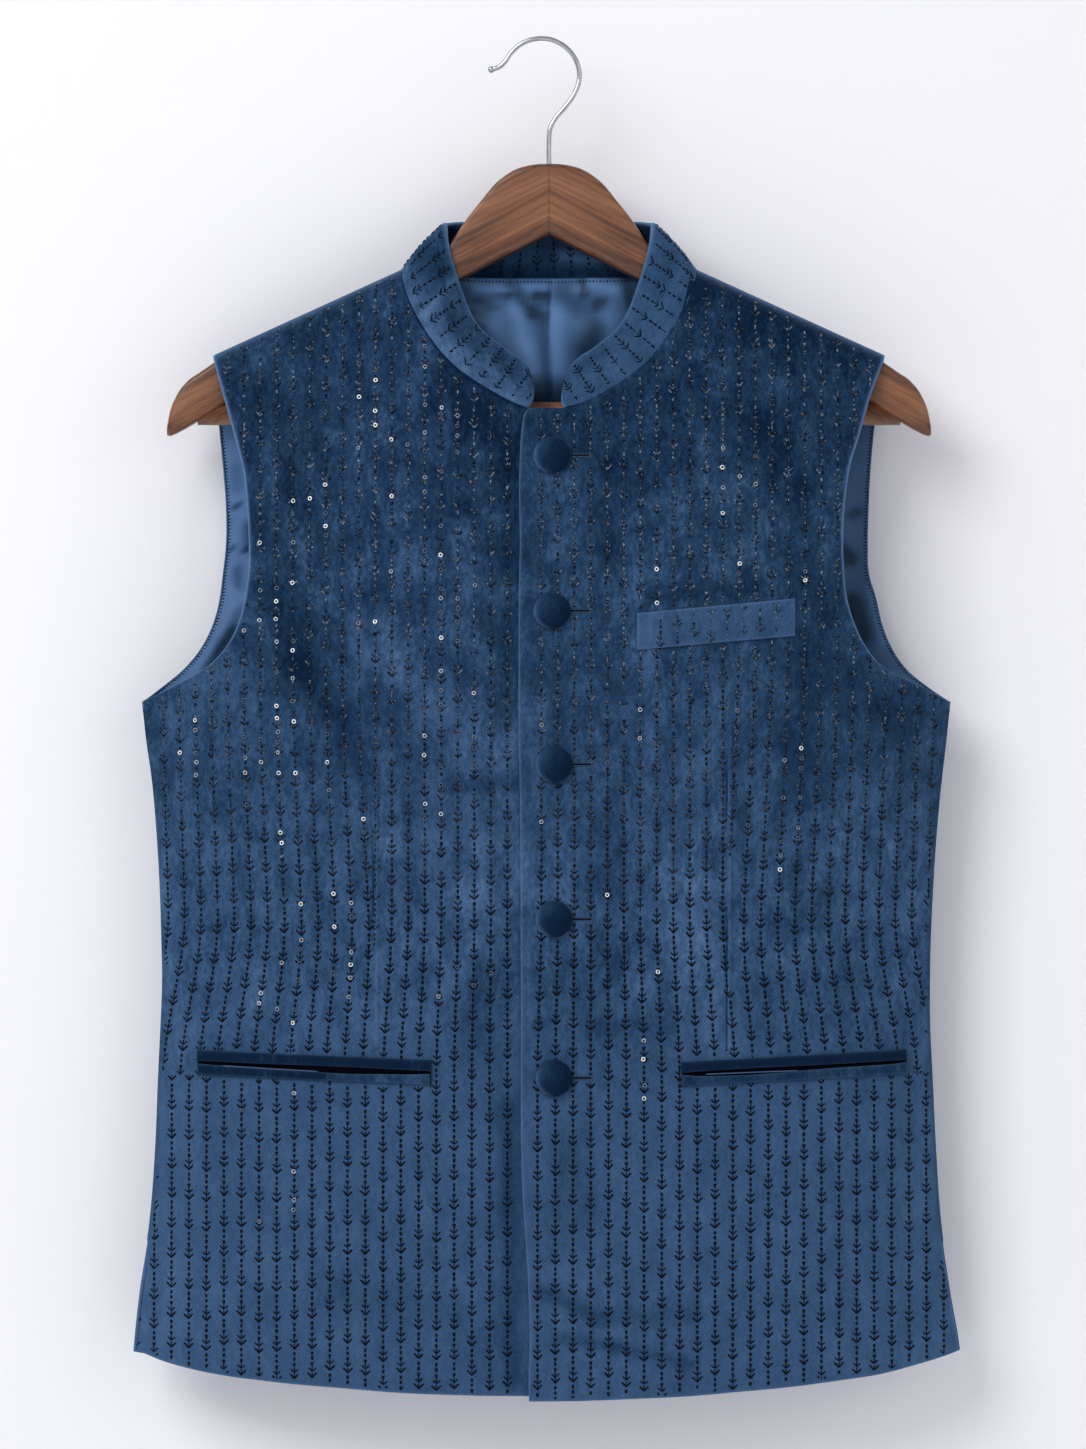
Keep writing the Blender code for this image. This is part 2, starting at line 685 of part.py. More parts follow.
def build_back(collection, centre):
    """The back panel."""
    places, neck_start, neck_count = back_grid()
    outer = surface_points(back_y, places)
    step = inward_normals(back_y, places, 1.0) * WALL
    step[: LOWER_ROW_COUNT + 1, 0] = (SIDE_MITRE, 0.0, 0.0)
    step[: LOWER_ROW_COUNT + 1, -1] = (-SIDE_MITRE, 0.0, 0.0)
    tilt = math.atan(SHOULDER_FALL)
    step[-1, : neck_start + 1] = np.array([math.sin(tilt), 0.0, -math.cos(tilt)]) * WALL
    step[-1, neck_start + neck_count - 1 :] = np.array([-math.sin(tilt), 0.0, -math.cos(tilt)]) * WALL
    left_mitre, left_index = collar_lines(-1)[3:]
    right_mitre, right_index = collar_lines(1)[3:]
    mitres = np.concatenate([left_mitre[left_index:], right_mitre[right_index:-1][::-1]])
    step[-1, neck_start : neck_start + neck_count] = mitres * WALL
    inner = outer + step
    seam = np.zeros(outer.shape[:2], dtype=bool)
    seam[: LOWER_ROW_COUNT + 1, 0] = True
    seam[: LOWER_ROW_COUNT + 1, -1] = True
    seam[-1, : neck_start + 1] = True
    seam[-1, neck_start + neck_count - 1 :] = True
    outer[seam, 1] += SEAM_GAP
    inner[seam, 1] += SEAM_GAP
    return sheet_solid("back", outer, inner, "velvet", collection, centre)


# The satin inside the back lies on the back's own rows and columns, without the border ones.
LINING_FIRST_ROW = 1
LINING_LAST_ROW = -3


def build_lining(collection, centre):
    """The satin lining of the back."""
    places = back_grid()[0][LINING_FIRST_ROW:LINING_LAST_ROW, 1:-1]
    base = surface_points(back_y, places)
    normals = inward_normals(back_y, places, 1.0)
    outer = base + normals * (WALL + LAYER_GAP)
    inner = base + normals * (WALL + LAYER_GAP + LINING_WALL)
    return sheet_solid("back_lining", outer, inner, "satin", collection, centre)


COLLAR_STEPS = 4
COLLAR_BULGE = 1.4


def build_collar(collection, centre):
    """The band collar, one piece from one rounded front end to the other."""
    outer_lines = []
    inner_lines = []
    for side in (-1, 1):
        seam, top, band, mitre, neck_index = collar_lines(side)
        rise = top - seam
        lift = unit(rise) * COLLAR_RAISE
        outer = []
        inner = []
        for step in range(COLLAR_STEPS + 1):
            share = step / COLLAR_STEPS
            middle = seam + lift + (rise - lift) * share
            bulge = COLLAR_BULGE * math.sin(math.pi * share)
            middle = middle - band * bulge
            turn = smooth_step(share * 2.5)
            away = unit(mitre) * (1.0 - turn) * np.linalg.norm(mitre, axis=1, keepdims=True)
            away = (away + band * turn) * COLLAR_WALL
            outer.append(middle)
            inner.append(middle + away)
        outer_lines.append(np.array(outer))
        inner_lines.append(np.array(inner))
    outer = np.concatenate([outer_lines[0], outer_lines[1][:, ::-1][:, 1:]], axis=1)
    inner = np.concatenate([inner_lines[0], inner_lines[1][:, ::-1][:, 1:]], axis=1)
    return sheet_solid("collar", outer, inner, "velvet_light", collection, centre)


WELT_COLUMN_COUNT = 13
WELT_ROW_COUNT = 3


def build_welts(collection, centre):
    """Pocket welts, laid on the fronts from their points moved out."""
    for name, left_u, left_top, left_low, right_u, right_top, right_low in WELT_ROWS:
        height = under_y if left_u < 0.0 else lapping_y
        across = np.linspace(0.0, 1.0, WELT_COLUMN_COUNT)[None, :]
        down = np.linspace(0.0, 1.0, WELT_ROW_COUNT)[:, None]
        u = left_u + (right_u - left_u) * across + 0.0 * down
        top = left_top + (right_top - left_top) * across
        low = left_low + (right_low - left_low) * across
        places = np.stack([u, top + (low - top) * down], axis=-1)
        base = surface_points(height, places)
        normals = inward_normals(height, places, -1.0)
        # A straight line between points of the panel can stand proud of the welt's own points.
        inner = base - normals * (LAYER_GAP + 0.25)
        outer = base - normals * (LAYER_GAP + 0.25 + WELT_WALL)
        sheet_solid(name, outer, inner, "velvet_light", collection, centre)


def button_mesh():
    """A covered dome on its shank: a profile from the crown down the outer side to the foot."""
    shank = BUTTON_LIFT + LAP_DEPTH - LAYER_GAP
    profile = [(0.0, BUTTON_CROWN)] + [(row[0], row[1]) for row in BUTTON_PROFILE_ROWS]
    profile += [(BUTTON_PROFILE_ROWS[-1][0], -shank), (0.0, -shank)]
    vertices = [(radius * MM, 0.0, forward * MM) for radius, forward in profile]
    edges = [(index, index + 1) for index in range(len(profile) - 1)]
    mesh = bpy.data.meshes.new("button")
    mesh.from_pydata(vertices, edges, [])
    return mesh


def build_buttons(front, collection, cutters, centre):
    """Covered buttons on shanks, each through its own buttonhole in the lapping front."""
    for name, u, drop in BUTTON_ROWS:
        panel_y = float(lapping_y(u, drop))
        button = placed(name, button_mesh(), (u, panel_y - BUTTON_LIFT, -drop), collection, centre)
        button.rotation_euler = (math.radians(90.0), 0.0, 0.0)
        turn = button.modifiers.new("turn", "SCREW")
        turn.axis = "Z"
        turn.steps = BUTTON_SIDES
        turn.render_steps = BUTTON_SIDES
        turn.use_merge_vertices = True
        turn.merge_threshold = 0.00001
        coloured(button, "velvet_dark")

        shank_hole = round_bar(name + "_hole", 12.0, SHANK_HOLE_RADIUS, 16)
        hole = placed(name + "_hole", shank_hole, (u, panel_y, -drop), cutters, centre)
        hole.rotation_euler = (0.0, 0.0, math.radians(90.0))
        cut(front, hole)
        shape = bmesh.new()
        bmesh.ops.create_cube(shape, size=1.0)
        bmesh.ops.scale(
            shape,
            vec=(BUTTONHOLE_LENGTH * MM, 12.0 * MM, BUTTONHOLE_WIDTH * MM),
            verts=shape.verts,
        )
        slit_place = (u + BUTTONHOLE_LENGTH / 2.0, panel_y, -drop)
        slit = placed(name + "_slit", mesh_from(name + "_slit", shape), slit_place, cutters, centre)
        cut(front, slit)


def hanger_ring(u, top, bottom, thick, forward):
    """One upright section of the wooden arms, with rounded corners."""
    radius = min(HANGER_EDGE_ROUND, thick * 0.8, (bottom - top) * 0.45)
    corners = ((-1, -1), (1, -1), (1, 1), (-1, 1))
    ring = []
    for index, (toward_back, downward) in enumerate(corners):
        centre_y = -forward + toward_back * (thick - radius)
        centre_z = -top - radius if downward < 0 else -bottom + radius
        for angle in HANGER_CORNER_ANGLES:
            turn = math.radians(180.0 - 90.0 * index - angle)
            y = centre_y + radius * math.cos(turn)
            z = centre_z + radius * math.sin(turn)
            ring.append((u * MM, y * MM, z * MM))
    return ring


def build_arms(collection, centre):
    """The wooden arms, lofted through unlike sections from one tip to the other."""
    mirrored = [(-row[0],) + row[1:] for row in HANGER_ROWS[::-1]]
    stations = mirrored + list(HANGER_ROWS[1:])
    shape = bmesh.new()
    rings = []
    for station in stations:
        rings.append([shape.verts.new(point) for point in hanger_ring(*station)])
    for here, there in zip(rings, rings[1:]):
        for step in range(len(here)):
            after = (step + 1) % len(here)
            shape.faces.new((here[step], here[after], there[after], there[step]))
    shape.faces.new(rings[0])
    shape.faces.new(rings[-1])
    body = placed("hanger_body", mesh_from("hanger_body", shape), (0.0, 0.0, 0.0), collection, centre)
    coloured(body, "wood")
    return body


def build_hook(collection, centre):
    """The wire hook: a bent wire from inside the wood to the ball at its end."""
    rows = ((HOOK_ROWS[0][0], HOOK_ROWS[0][1] + HOOK_DEPTH_IN_WOOD, HOOK_RADIUS),) + HOOK_ROWS
    curve = bpy.data.curves.new("hanger_hook", "CURVE")
    curve.dimensions = "3D"
    curve.bevel_depth = HOOK_RADIUS * MM
    curve.bevel_resolution = 2
    curve.use_fill_caps = True
    spline = curve.splines.new("POLY")
    spline.points.add(len(rows) - 1)
    for point, (x, drop, radius) in zip(spline.points, rows):
        point.co = ((x - CENTRE_X) * MM, 0.0, -drop * MM, 1.0)
        point.radius = radius / HOOK_RADIUS
    hook = placed("hanger_hook", curve, (0.0, 0.0, 0.0), collection, centre)
    coloured(hook, "steel")


def build_hanger(collection, cutters, centre):
    """Wooden arms, trouser bar and steel hook."""
    body = build_arms(collection, centre)
    bar_place = (0.0, BAR_Y, -BAR_DROP)
    bar_mesh = round_bar("hanger_bar", 2.0 * BAR_HALF_LENGTH, BAR_RADIUS, BAR_SIDES)
    bar = placed("hanger_bar", bar_mesh, bar_place, collection, centre)
    coloured(bar, "wood")
    bore_length = 2.0 * (BAR_HALF_LENGTH + BAR_BORE_SPARE)
    bore_mesh = round_bar("bar_bore", bore_length, BAR_RADIUS + BAR_BORE_SPARE, BAR_SIDES)
    cut(body, placed("bar_bore", bore_mesh, bar_place, cutters, centre))

    build_hook(collection, centre)
    foot = HOOK_ROWS[0][1] + HOOK_DEPTH_IN_WOOD + STEM_HOLE_SPARE
    stem_mesh = round_bar("stem_hole", foot - STEM_HOLE_TOP, HOOK_RADIUS + STEM_HOLE_SPARE, 16)
    stem_place = (0.0, 0.0, -(foot + STEM_HOLE_TOP) / 2.0)
    stem_hole = placed("stem_hole", stem_mesh, stem_place, cutters, centre)
    stem_hole.rotation_euler = (0.0, math.radians(90.0), 0.0)
    cut(body, stem_hole)


def build():
    """Clears the scene and builds every piece."""
    for item in list(bpy.data.objects):
        bpy.data.objects.remove(item, do_unlink=True)
    collection = bpy.data.collections.new(NAME)
    cutters = bpy.data.collections.new("cutters")
    bpy.context.scene.collection.children.link(collection)
    bpy.context.scene.collection.children.link(cutters)
    centre = bpy.data.objects.new("jacket_centre", None)
    centre.location = (CENTRE_X * MM, 0.0, 0.0)
    collection.objects.link(centre)
    build_front(-1, "front_right", collection, centre)
    lapping = build_front(1, "front_left", collection, centre)
    build_back(collection, centre)
    build_lining(collection, centre)
    build_collar(collection, centre)
    build_welts(collection, centre)
    build_buttons(lapping, collection, cutters, centre)
    build_hanger(collection, cutters, centre)


build()
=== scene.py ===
"""Looks of a sleeveless velvet jacket with a band collar on a wooden hanger.

Tables are in millimetres. "u" is the distance from the jacket's centre plane, "drop" the distance
down from the inside top of the hook, and y grows away from the viewer.
"""

import math

import bpy
import numpy as np
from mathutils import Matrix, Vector


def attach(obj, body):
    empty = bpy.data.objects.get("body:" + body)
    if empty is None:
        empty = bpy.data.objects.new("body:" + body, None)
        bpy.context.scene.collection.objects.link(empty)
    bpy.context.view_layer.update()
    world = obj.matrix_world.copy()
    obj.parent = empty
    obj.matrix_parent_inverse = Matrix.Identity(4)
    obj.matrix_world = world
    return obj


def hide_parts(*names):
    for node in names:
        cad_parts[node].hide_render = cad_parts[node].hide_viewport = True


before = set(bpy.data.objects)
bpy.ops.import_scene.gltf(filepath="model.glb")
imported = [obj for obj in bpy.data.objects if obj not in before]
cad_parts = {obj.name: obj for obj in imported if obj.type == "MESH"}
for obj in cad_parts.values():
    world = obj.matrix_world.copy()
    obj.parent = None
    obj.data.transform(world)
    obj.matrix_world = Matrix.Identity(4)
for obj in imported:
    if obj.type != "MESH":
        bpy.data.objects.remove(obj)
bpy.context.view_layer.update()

MM = 0.001
CENTRE_X = 4.8
SEED = 7

# The camera looks level at the jacket from far away, so that its front keeps its size.
CAMERA_DISTANCE = 5.0
CAMERA_X = 0.0012
CAMERA_Z = -0.4101
FRAME_WIDTH = 0.6516
SENSOR = 36.0

# Cloth thicknesses and the narrow spaces between pieces.
WALL = 2.0
COLLAR_WALL = 2.4
LINING_WALL = 0.9
LINING_GAP = 2.35
SEAM_GAP = 0.12
COLLAR_RAISE = 0.2
SIDE_MITRE = 3.2
EDGE_ROUND = 0.95

# The shoulder line and how the cloth's depth grows below it.
NECK_POINT = (88.4, 137.1)
SHOULDER_TIP = (201.8, 188.8)
SHOULDER_FALL = (SHOULDER_TIP[1] - NECK_POINT[1]) / (SHOULDER_TIP[0] - NECK_POINT[0])
SHOULDER_TILT = math.atan(SHOULDER_FALL)
RIDGE_SHARE = 0.55
RIDGE_ROUND = 16.0
RIDGE_SPREAD = 170.0
ARMPIT_DROP = 396.6

# Half widths of the cloth, left and right in the photo, by drop.
SIDE_COLUMNS = ("drop", "left", "right")
SIDE_ROWS = (
    (100.0, 340.0, 340.0),
    (200.0, 304.0, 302.0),
    (300.0, 266.0, 263.0),
    (396.6, 244.5, 241.2),
    (420.6, 241.8, 238.6),
    (442.8, 238.6, 236.0),
    (471.6, 236.0, 233.2),
    (504.0, 234.0, 231.0),
    (536.4, 232.9, 229.4),
    (565.2, 232.4, 228.8),
    (592.2, 233.4, 229.0),
    (621.6, 234.8, 230.4),
    (665.4, 236.6, 232.5),
    (710.4, 240.2, 235.7),
    (752.4, 246.6, 241.8),
    (782.4, 249.8, 247.0),
    (830.0, 253.0, 250.0),
)

# Depth of the front and of the back from the seam plane, and the seam plane's own y, by drop.
DEPTH_COLUMNS = ("drop", "front", "back", "seam_y")
DEPTH_ROWS = (
    (100.0, 36.0, 30.0, 0.0),
    (200.0, 36.0, 30.0, 0.0),
    (400.0, 36.0, 29.0, 4.0),
    (600.0, 33.0, 26.0, 4.0),
    (720.0, 31.0, 24.0, 4.0),
    (830.0, 29.0, 23.0, 4.0),
)

# Armhole edges from the shoulder tip down to the armpit, as half widths.
ARMHOLE_COLUMNS = ("drop", "left", "right")
FRONT_ARMHOLE_ROWS = (
    (188.8, 201.8, 201.8),
    (213.0, 195.0, 192.6),
    (236.0, 188.6, 186.0),
    (256.0, 183.3, 180.0),
    (277.0, 180.7, 177.0),
    (301.0, 179.5, 175.8),
    (317.0, 179.5, 176.3),
    (334.0, 181.8, 178.0),
    (349.0, 185.6, 182.4),
    (361.6, 191.7, 188.4),
    (373.8, 202.4, 197.7),
    (382.0, 214.8, 211.4),
    (389.0, 228.6, 226.7),
    (396.6, 244.5, 241.2),
)
BACK_ARMHOLE_ROWS = (
    (188.8, 201.8, 201.8),
    (231.0, 198.6, 196.0),
    (256.0, 196.3, 193.8),
    (277.0, 194.8, 192.8),
    (302.0, 194.8, 192.3),
    (320.0, 196.8, 193.2),
    (334.0, 198.6, 197.4),
    (349.0, 202.4, 200.8),
    (364.5, 210.0, 206.9),
    (377.5, 220.8, 216.0),
    (386.5, 231.6, 226.7),
    (396.6, 244.5, 241.2),
)

# One half of the collar: where its lower edge is sewn and where its top edge stands.
COLLAR_COLUMNS = ("seam_u", "seam_drop", "top_u", "top_y", "top_drop")
COLLAR_FRONT_ROWS = (
    (13.5, 220.6, 9.2, -14.5, 206.5),
    (17.5, 219.4, 12.6, -13.5, 195.5),
    (24.0, 216.6, 18.5, -12.5, 189.2),
    (32.2, 212.1, 24.4, -11.5, 185.4),
    (41.9, 206.4, 31.6, -10.8, 180.0),
    (50.3, 200.7, 36.5, -10.4, 176.2),
    (58.8, 193.7, 41.2, -10.2, 171.4),
    (66.7, 184.8, 45.9, -10.0, 164.0),
    (74.0, 174.5, 49.7, -10.0, 155.2),
    (80.2, 164.0, 53.2, -10.0, 145.4),
    (85.2, 152.6, 57.2, -9.8, 132.5),
    (87.8, 143.4, 61.0, -7.6, 117.5),
    (88.3, 138.9, 62.3, -4.4, 110.5),
    (88.4, 137.1, 62.8, 0.0, 108.6),
)
COLLAR_BACK_ROWS = (
    (85.8, 137.4, 61.6, 5.0, 108.3),
    (79.0, 138.4, 57.6, 9.0, 107.9),
    (63.0, 140.6, 47.5, 12.0, 107.5),
    (43.0, 141.7, 33.0, 13.5, 107.2),
    (21.0, 142.0, 16.2, 14.0, 107.0),
    (0.0, 142.0, 0.0, 14.2, 107.0),
)
COLLAR_BULGE = 1.4
# How much thicker the band is at its rolled top edge.
COLLAR_ROLL = 1.0
# How far the collar's ends reach past the table towards the middle, by share of the band's height.
COLLAR_END_COLUMNS = ("share", "left", "right")
COLLAR_END_ROWS = (
    (0.0, 0.2, 4.2),
    (0.06, 1.5, 5.0),
    (0.14, 2.2, 5.4),
    (0.3, 2.7, 5.0),
    (0.5, 2.4, 3.9),
    (0.75, 1.6, 2.3),
    (1.0, 0.5, 0.6),
)
COLLAR_END_LENGTH = 9.0

# Front edges and hems, as u and drop.
LAP_EDGE = (
    (-12.0, 814.4),
    (-12.2, 800.0),
    (-11.6, 778.8),
    (-12.0, 757.8),
    (-13.4, 728.4),
    (-15.6, 695.4),
    (-16.8, 575.4),
    (-17.4, 455.4),
    (-18.4, 398.4),
    (-18.0, 333.6),
    (-17.5, 294.6),
    (-18.0, 268.2),
    (-17.0, 242.4),
    (-15.8, 229.5),
    (-15.0, 225.0),
    (-13.2, 222.4),
    (-10.4, 221.3),
)
LAP_TOP = ((-10.4, 221.3), (0.0, 221.1), (13.5, 220.6))
UNDER_EDGE = ((17.0, 811.6), (17.0, 600.0), (17.0, 222.4))
UNDER_TOP = ((17.0, 222.4), (0.0, 222.0), (-13.5, 220.6))
LAP_DEPTH = 2.7
LAP_START = -42.0
LAP_WIDTH = 20.0
UNDER_HEM = (
    (17.0, 811.6),
    (-13.0, 811.4),
    (-50.0, 810.8),
    (-89.4, 809.4),
    (-129.0, 806.2),
    (-150.0, 804.5),
    (-171.7, 802.2),
    (-193.0, 799.8),
    (-214.8, 796.0),
    (-234.0, 791.0),
    (-246.4, 785.6),
)
LAP_HEM = (
    (-12.0, 814.4),
    (10.0, 814.3),
    (50.0, 813.0),
    (90.6, 810.9),
    (112.0, 809.0),
    (144.0, 806.0),
    (176.0, 802.0),
    (197.8, 799.0),
    (219.0, 794.0),
    (240.6, 788.0),
    (247.2, 785.6),
)
BACK_HEM = (
    (-249.9, 786.4),
    (-200.0, 797.0),
    (-150.0, 803.0),
    (-80.0, 808.0),
    (0.0, 809.6),
    (80.0, 808.0),
    (150.0, 803.0),
    (200.0, 795.5),
    (247.1, 785.4),
)
VENT_TOP = 712.0
VENT_INSET = 2.4

# Folds pressed into the cloth: a line from one end to the other, its width and height outwards.
FOLD_COLUMNS = ("u_start", "drop_start", "u_end", "drop_end", "width", "height")
FRONT_FOLD_ROWS = (
    (-76.0, 196.0, -26.0, 236.0, 10.0, 2.4),
    (-88.0, 214.0, -44.0, 262.0, 13.0, -1.6),
    (12.0, 232.0, 62.0, 218.0, 8.0, 1.8),
    (66.0, 226.0, 104.0, 196.0, 13.0, -1.4),
    (-64.0, 300.0, -118.0, 520.0, 32.0, 2.4),
    (72.0, 300.0, 122.0, 520.0, 32.0, 2.2),
    (-146.0, 640.0, -164.0, 800.0, 26.0, 2.6),
    (-78.0, 650.0, -70.0, 800.0, 26.0, -1.8),
    (140.0, 640.0, 158.0, 800.0, 26.0, 2.4),
    (74.0, 650.0, 66.0, 720.0, 26.0, -1.6),
    (14.0, 753.0, 122.0, 757.0, 8.0, 1.3),
    (36.0, 777.0, 126.0, 771.0, 8.0, 1.1),
    (-224.0, 584.0, -212.0, 622.0, 7.0, -1.8),
    (216.0, 598.0, 221.0, 624.0, 6.0, -1.4),
)
BACK_FOLD_ROWS = (
    (-92.0, 430.0, -112.0, 800.0, 34.0, 2.6),
    (88.0, 430.0, 108.0, 800.0, 34.0, 2.4),
    (0.0, 260.0, 0.0, 800.0, 26.0, -1.8),
)
# Small creases that only the finished cloth shows.
FINE_FOLD_ROWS = (
    (-222.0, 590.0, -210.0, 604.0, 2.6, 0.9),
    (-226.0, 604.0, -211.0, 616.0, 2.4, -0.9),
    (-224.0, 618.0, -210.0, 626.0, 2.6, 0.8),
    (217.0, 600.0, 224.0, 618.0, 2.6, 0.8),
    (215.0, 612.0, 224.0, 630.0, 2.4, -0.7),
    (107.0, 440.4, 118.0, 440.0, 1.4, -0.5),
    (-62.0, 190.0, -22.0, 228.0, 3.6, 0.7),
    (-56.0, 204.0, -24.0, 246.0, 3.4, -0.8),
    (18.0, 226.0, 44.0, 222.0, 3.0, -0.6),
    (22.0, 246.0, 60.0, 240.0, 3.6, 0.6),
    (10.0, 758.0, 100.0, 762.0, 3.6, -0.6),
    (40.0, 783.0, 120.0, 778.0, 3.4, -0.5),
)
# The darts, sewn creases that run down to the hip pockets.
DART_COLUMNS = ("u", "drop_start", "drop_end")
DART_ROWS = ((-104.4, 440.0, 605.0), (106.5, 409.0, 606.0))
DART_WIDTH = 1.3
DART_DEPTH = 0.8

# Pockets, by their corners on the front.
WELT_COLUMNS = ("name", "left_u", "left_top", "left_bottom", "right_u", "right_top", "right_bottom")
WELT_ROWS = (
    ("chest_pocket_welt", 52.5, 343.7, 365.6, 146.7, 334.8, 357.2),
    ("hip_pocket_right_upper", -210.2, 605.1, 611.6, -70.0, 610.4, 617.0),
    ("hip_pocket_right_lower", -209.6, 613.0, 619.8, -71.0, 618.5, 625.1),
    ("hip_pocket_left_upper", 78.6, 611.6, 617.9, 213.6, 604.8, 611.1),
    ("hip_pocket_left_lower", 79.2, 619.2, 625.8, 213.6, 612.5, 619.5),
)
SLIT_ROWS = (
    ("hip_pocket_right_slit", -209.6, 610.8, 616.2, -70.6, 616.2, 621.6),
    ("hip_pocket_left_slit", 79.4, 616.6, 622.0, 213.2, 609.8, 615.4),
)
WELT_LIFT = 0.45
WELT_WALL = 1.6

BUTTON_COLUMNS = ("name", "u", "drop")
BUTTON_ROWS = (
    ("button_1", 1.8, 249.6),
    ("button_2", 1.8, 342.3),
    ("button_3", 3.0, 433.8),
    ("button_4", 3.0, 526.2),
    ("button_5", 3.0, 621.0),
)
BUTTON_LIFT = 0.7
BUTTON_CROWN = 6.5
BUTTON_PROFILE = ((1.8, 6.42), (3.8, 6.15), (6.0, 5.6), (8.0, 4.75), (9.6, 3.6), (10.6, 2.5),
                  (11.0, 1.7), (10.8, 0.9), (10.1, 0.3), (8.6, 0.0), (4.0, 0.0))
BUTTONHOLE_END = 22.5

# The wooden hanger, by half width.
HANGER_COLUMNS = ("u", "top", "bottom", "half_thick", "forward")
HANGER_ROWS = (
    (0.0, 73.8, 116.6, 6.2, 0.0),
    (6.0, 74.0, 119.6, 6.2, 0.0),
    (13.0, 75.0, 123.2, 6.2, 0.0),
    (20.5, 77.4, 127.0, 6.2, 0.0),
    (27.0, 81.4, 130.2, 6.2, 0.0),
    (32.1, 85.6, 132.8, 6.2, 0.0),
    (40.2, 95.4, 137.0, 6.2, 0.0),
    (47.0, 103.8, 140.4, 6.2, 0.0),
    (52.2, 111.0, 143.0, 6.2, 0.0),
    (59.7, 122.0, 146.9, 6.2, 0.0),
    (70.0, 131.6, 152.4, 6.3, 0.1),
    (88.0, 140.4, 161.9, 6.4, 0.2),
    (120.0, 155.0, 178.8, 6.9, 0.5),
    (150.0, 168.7, 194.6, 7.4, 0.8),
    (180.0, 182.4, 210.4, 8.0, 1.1),
    (195.0, 189.6, 218.4, 8.3, 1.3),
    (203.0, 194.8, 223.6, 8.4, 1.4),
    (208.5, 198.6, 227.0, 8.3, 1.5),
    (217.5, 205.2, 232.4, 7.9, 1.5),
    (223.4, 213.2, 235.6, 7.2, 1.6),
    (227.4, 223.2, 237.2, 6.0, 1.6),
    (229.0, 231.0, 236.6, 4.4, 1.6),
)
BAR_DROP = 223.6
BAR_RADIUS = 7.0
BAR_HALF_LENGTH = 211.0
BAR_Y = -1.4

HOOK_RADIUS = 1.5
HOOK_COLUMNS = ("x", "drop")
HOOK_ROWS = (
    (4.8, 84.0),
    (4.8, 73.8),
    (4.8, 60.0),
    (5.6, 52.0),
    (8.9, 46.0),
    (14.6, 39.4),
    (19.5, 32.6),
    (22.2, 26.4),
    (23.1, 20.4),
    (21.8, 13.6),
    (18.4, 7.4),
    (13.5, 2.7),
    (7.3, -0.5),
    (0.2, -1.6),
    (-7.0, -0.5),
    (-13.2, 2.6),
    (-18.2, 7.4),
    (-21.8, 12.6),
    (-24.6, 15.2),
    (-28.0, 16.6),
    (-29.8, 17.1),
)
HOOK_BALL = (-29.8, 17.1, 2.1)

# Embroidery: columns of running stitch with arrow heads that point down.
FIRST_COLUMN = 24.9
CHEST_STEP = 9.84
SKIRT_STEP = 10.6
STEP_CHANGE = (520.0, 626.0)
MOTIF_STEP = 17.75
# One motif: its stitches by start, end and radius, and its arrow heads by half width, height and tip,
# all as distances below the last motif's tip.
MOTIF_STITCHES = (
    (1.8, 4.2, 0.86),
    (4.8, 7.3, 0.84),
    (8.4, 11.0, 0.78),
    (11.0, 14.0, 0.42),
    (14.2, 17.4, 0.30),
)
MOTIF_ARROWS = (
    (2.90, 3.00, 17.75),
    (2.45, 2.30, 14.05),
    (0.95, 1.30, 9.90),
)
ARM_RADIUS = 0.58
THREAD_LIFT = 0.20
# How far the collar's columns lean towards its front ends, and how far from the ends they do.
COLLAR_LEAN = 11.0
COLLAR_LEAN_REACH = 95.0

# Ring sequins on the embroidery, by region of the fronts.
SEQUIN_RADIUS = 1.04
SEQUIN_WIRE = 0.35
SEQUIN_SPACE = 5.0
SEQUIN_COLUMNS = ("low_u", "high_u", "low_drop", "high_drop", "count")
SEQUIN_RIGHT_ROWS = (
    (-80.0, -70.0, 176.0, 268.0, 16),
    (-116.0, -46.0, 184.0, 350.0, 30),
    (-188.0, -130.0, 262.0, 316.0, 12),
    (-184.0, -146.0, 316.0, 476.0, 46),
    (-234.0, -178.0, 388.0, 434.0, 8),
    (-78.0, -42.0, 316.0, 460.0, 26),
    (-210.0, -118.0, 512.0, 586.0, 20),
    (-70.0, -28.0, 540.0, 580.0, 4),
    (-150.0, -84.0, 380.0, 560.0, 10),
    (-230.0, -30.0, 600.0, 800.0, 5),
)
SEQUIN_LEFT_ROWS = (
    (-12.0, 2.0, 380.0, 570.0, 5),
    (90.0, 130.0, 232.0, 322.0, 11),
    (56.0, 170.0, 316.0, 340.0, 6),
    (54.0, 68.0, 392.0, 440.0, 4),
    (134.0, 172.0, 390.0, 500.0, 11),
    (50.0, 60.0, 500.0, 630.0, 5),
    (20.0, 210.0, 240.0, 600.0, 14),
)


# Curves through tables.

def hermite(xs, ys, x):
    """A smooth curve through a table, with slopes from the neighbours."""
    xs = np.asarray(xs, dtype=float)
    ys = np.asarray(ys, dtype=float)
    x = np.clip(x, xs[0], xs[-1])
    slopes = np.gradient(ys, xs)
    index = np.clip(np.searchsorted(xs, x, side="right") - 1, 0, len(xs) - 2)
    span = xs[index + 1] - xs[index]
    t = (x - xs[index]) / span
    t2 = t * t
    t3 = t2 * t
    value = (2 * t3 - 3 * t2 + 1) * ys[index] + (t3 - 2 * t2 + t) * span * slopes[index]
    return value + (3 * t2 - 2 * t3) * ys[index + 1] + (t3 - t2) * span * slopes[index + 1]


def column(rows, names, wanted):
    """One named column of a table as an array."""
    return np.array([row[names.index(wanted)] for row in rows], dtype=float)


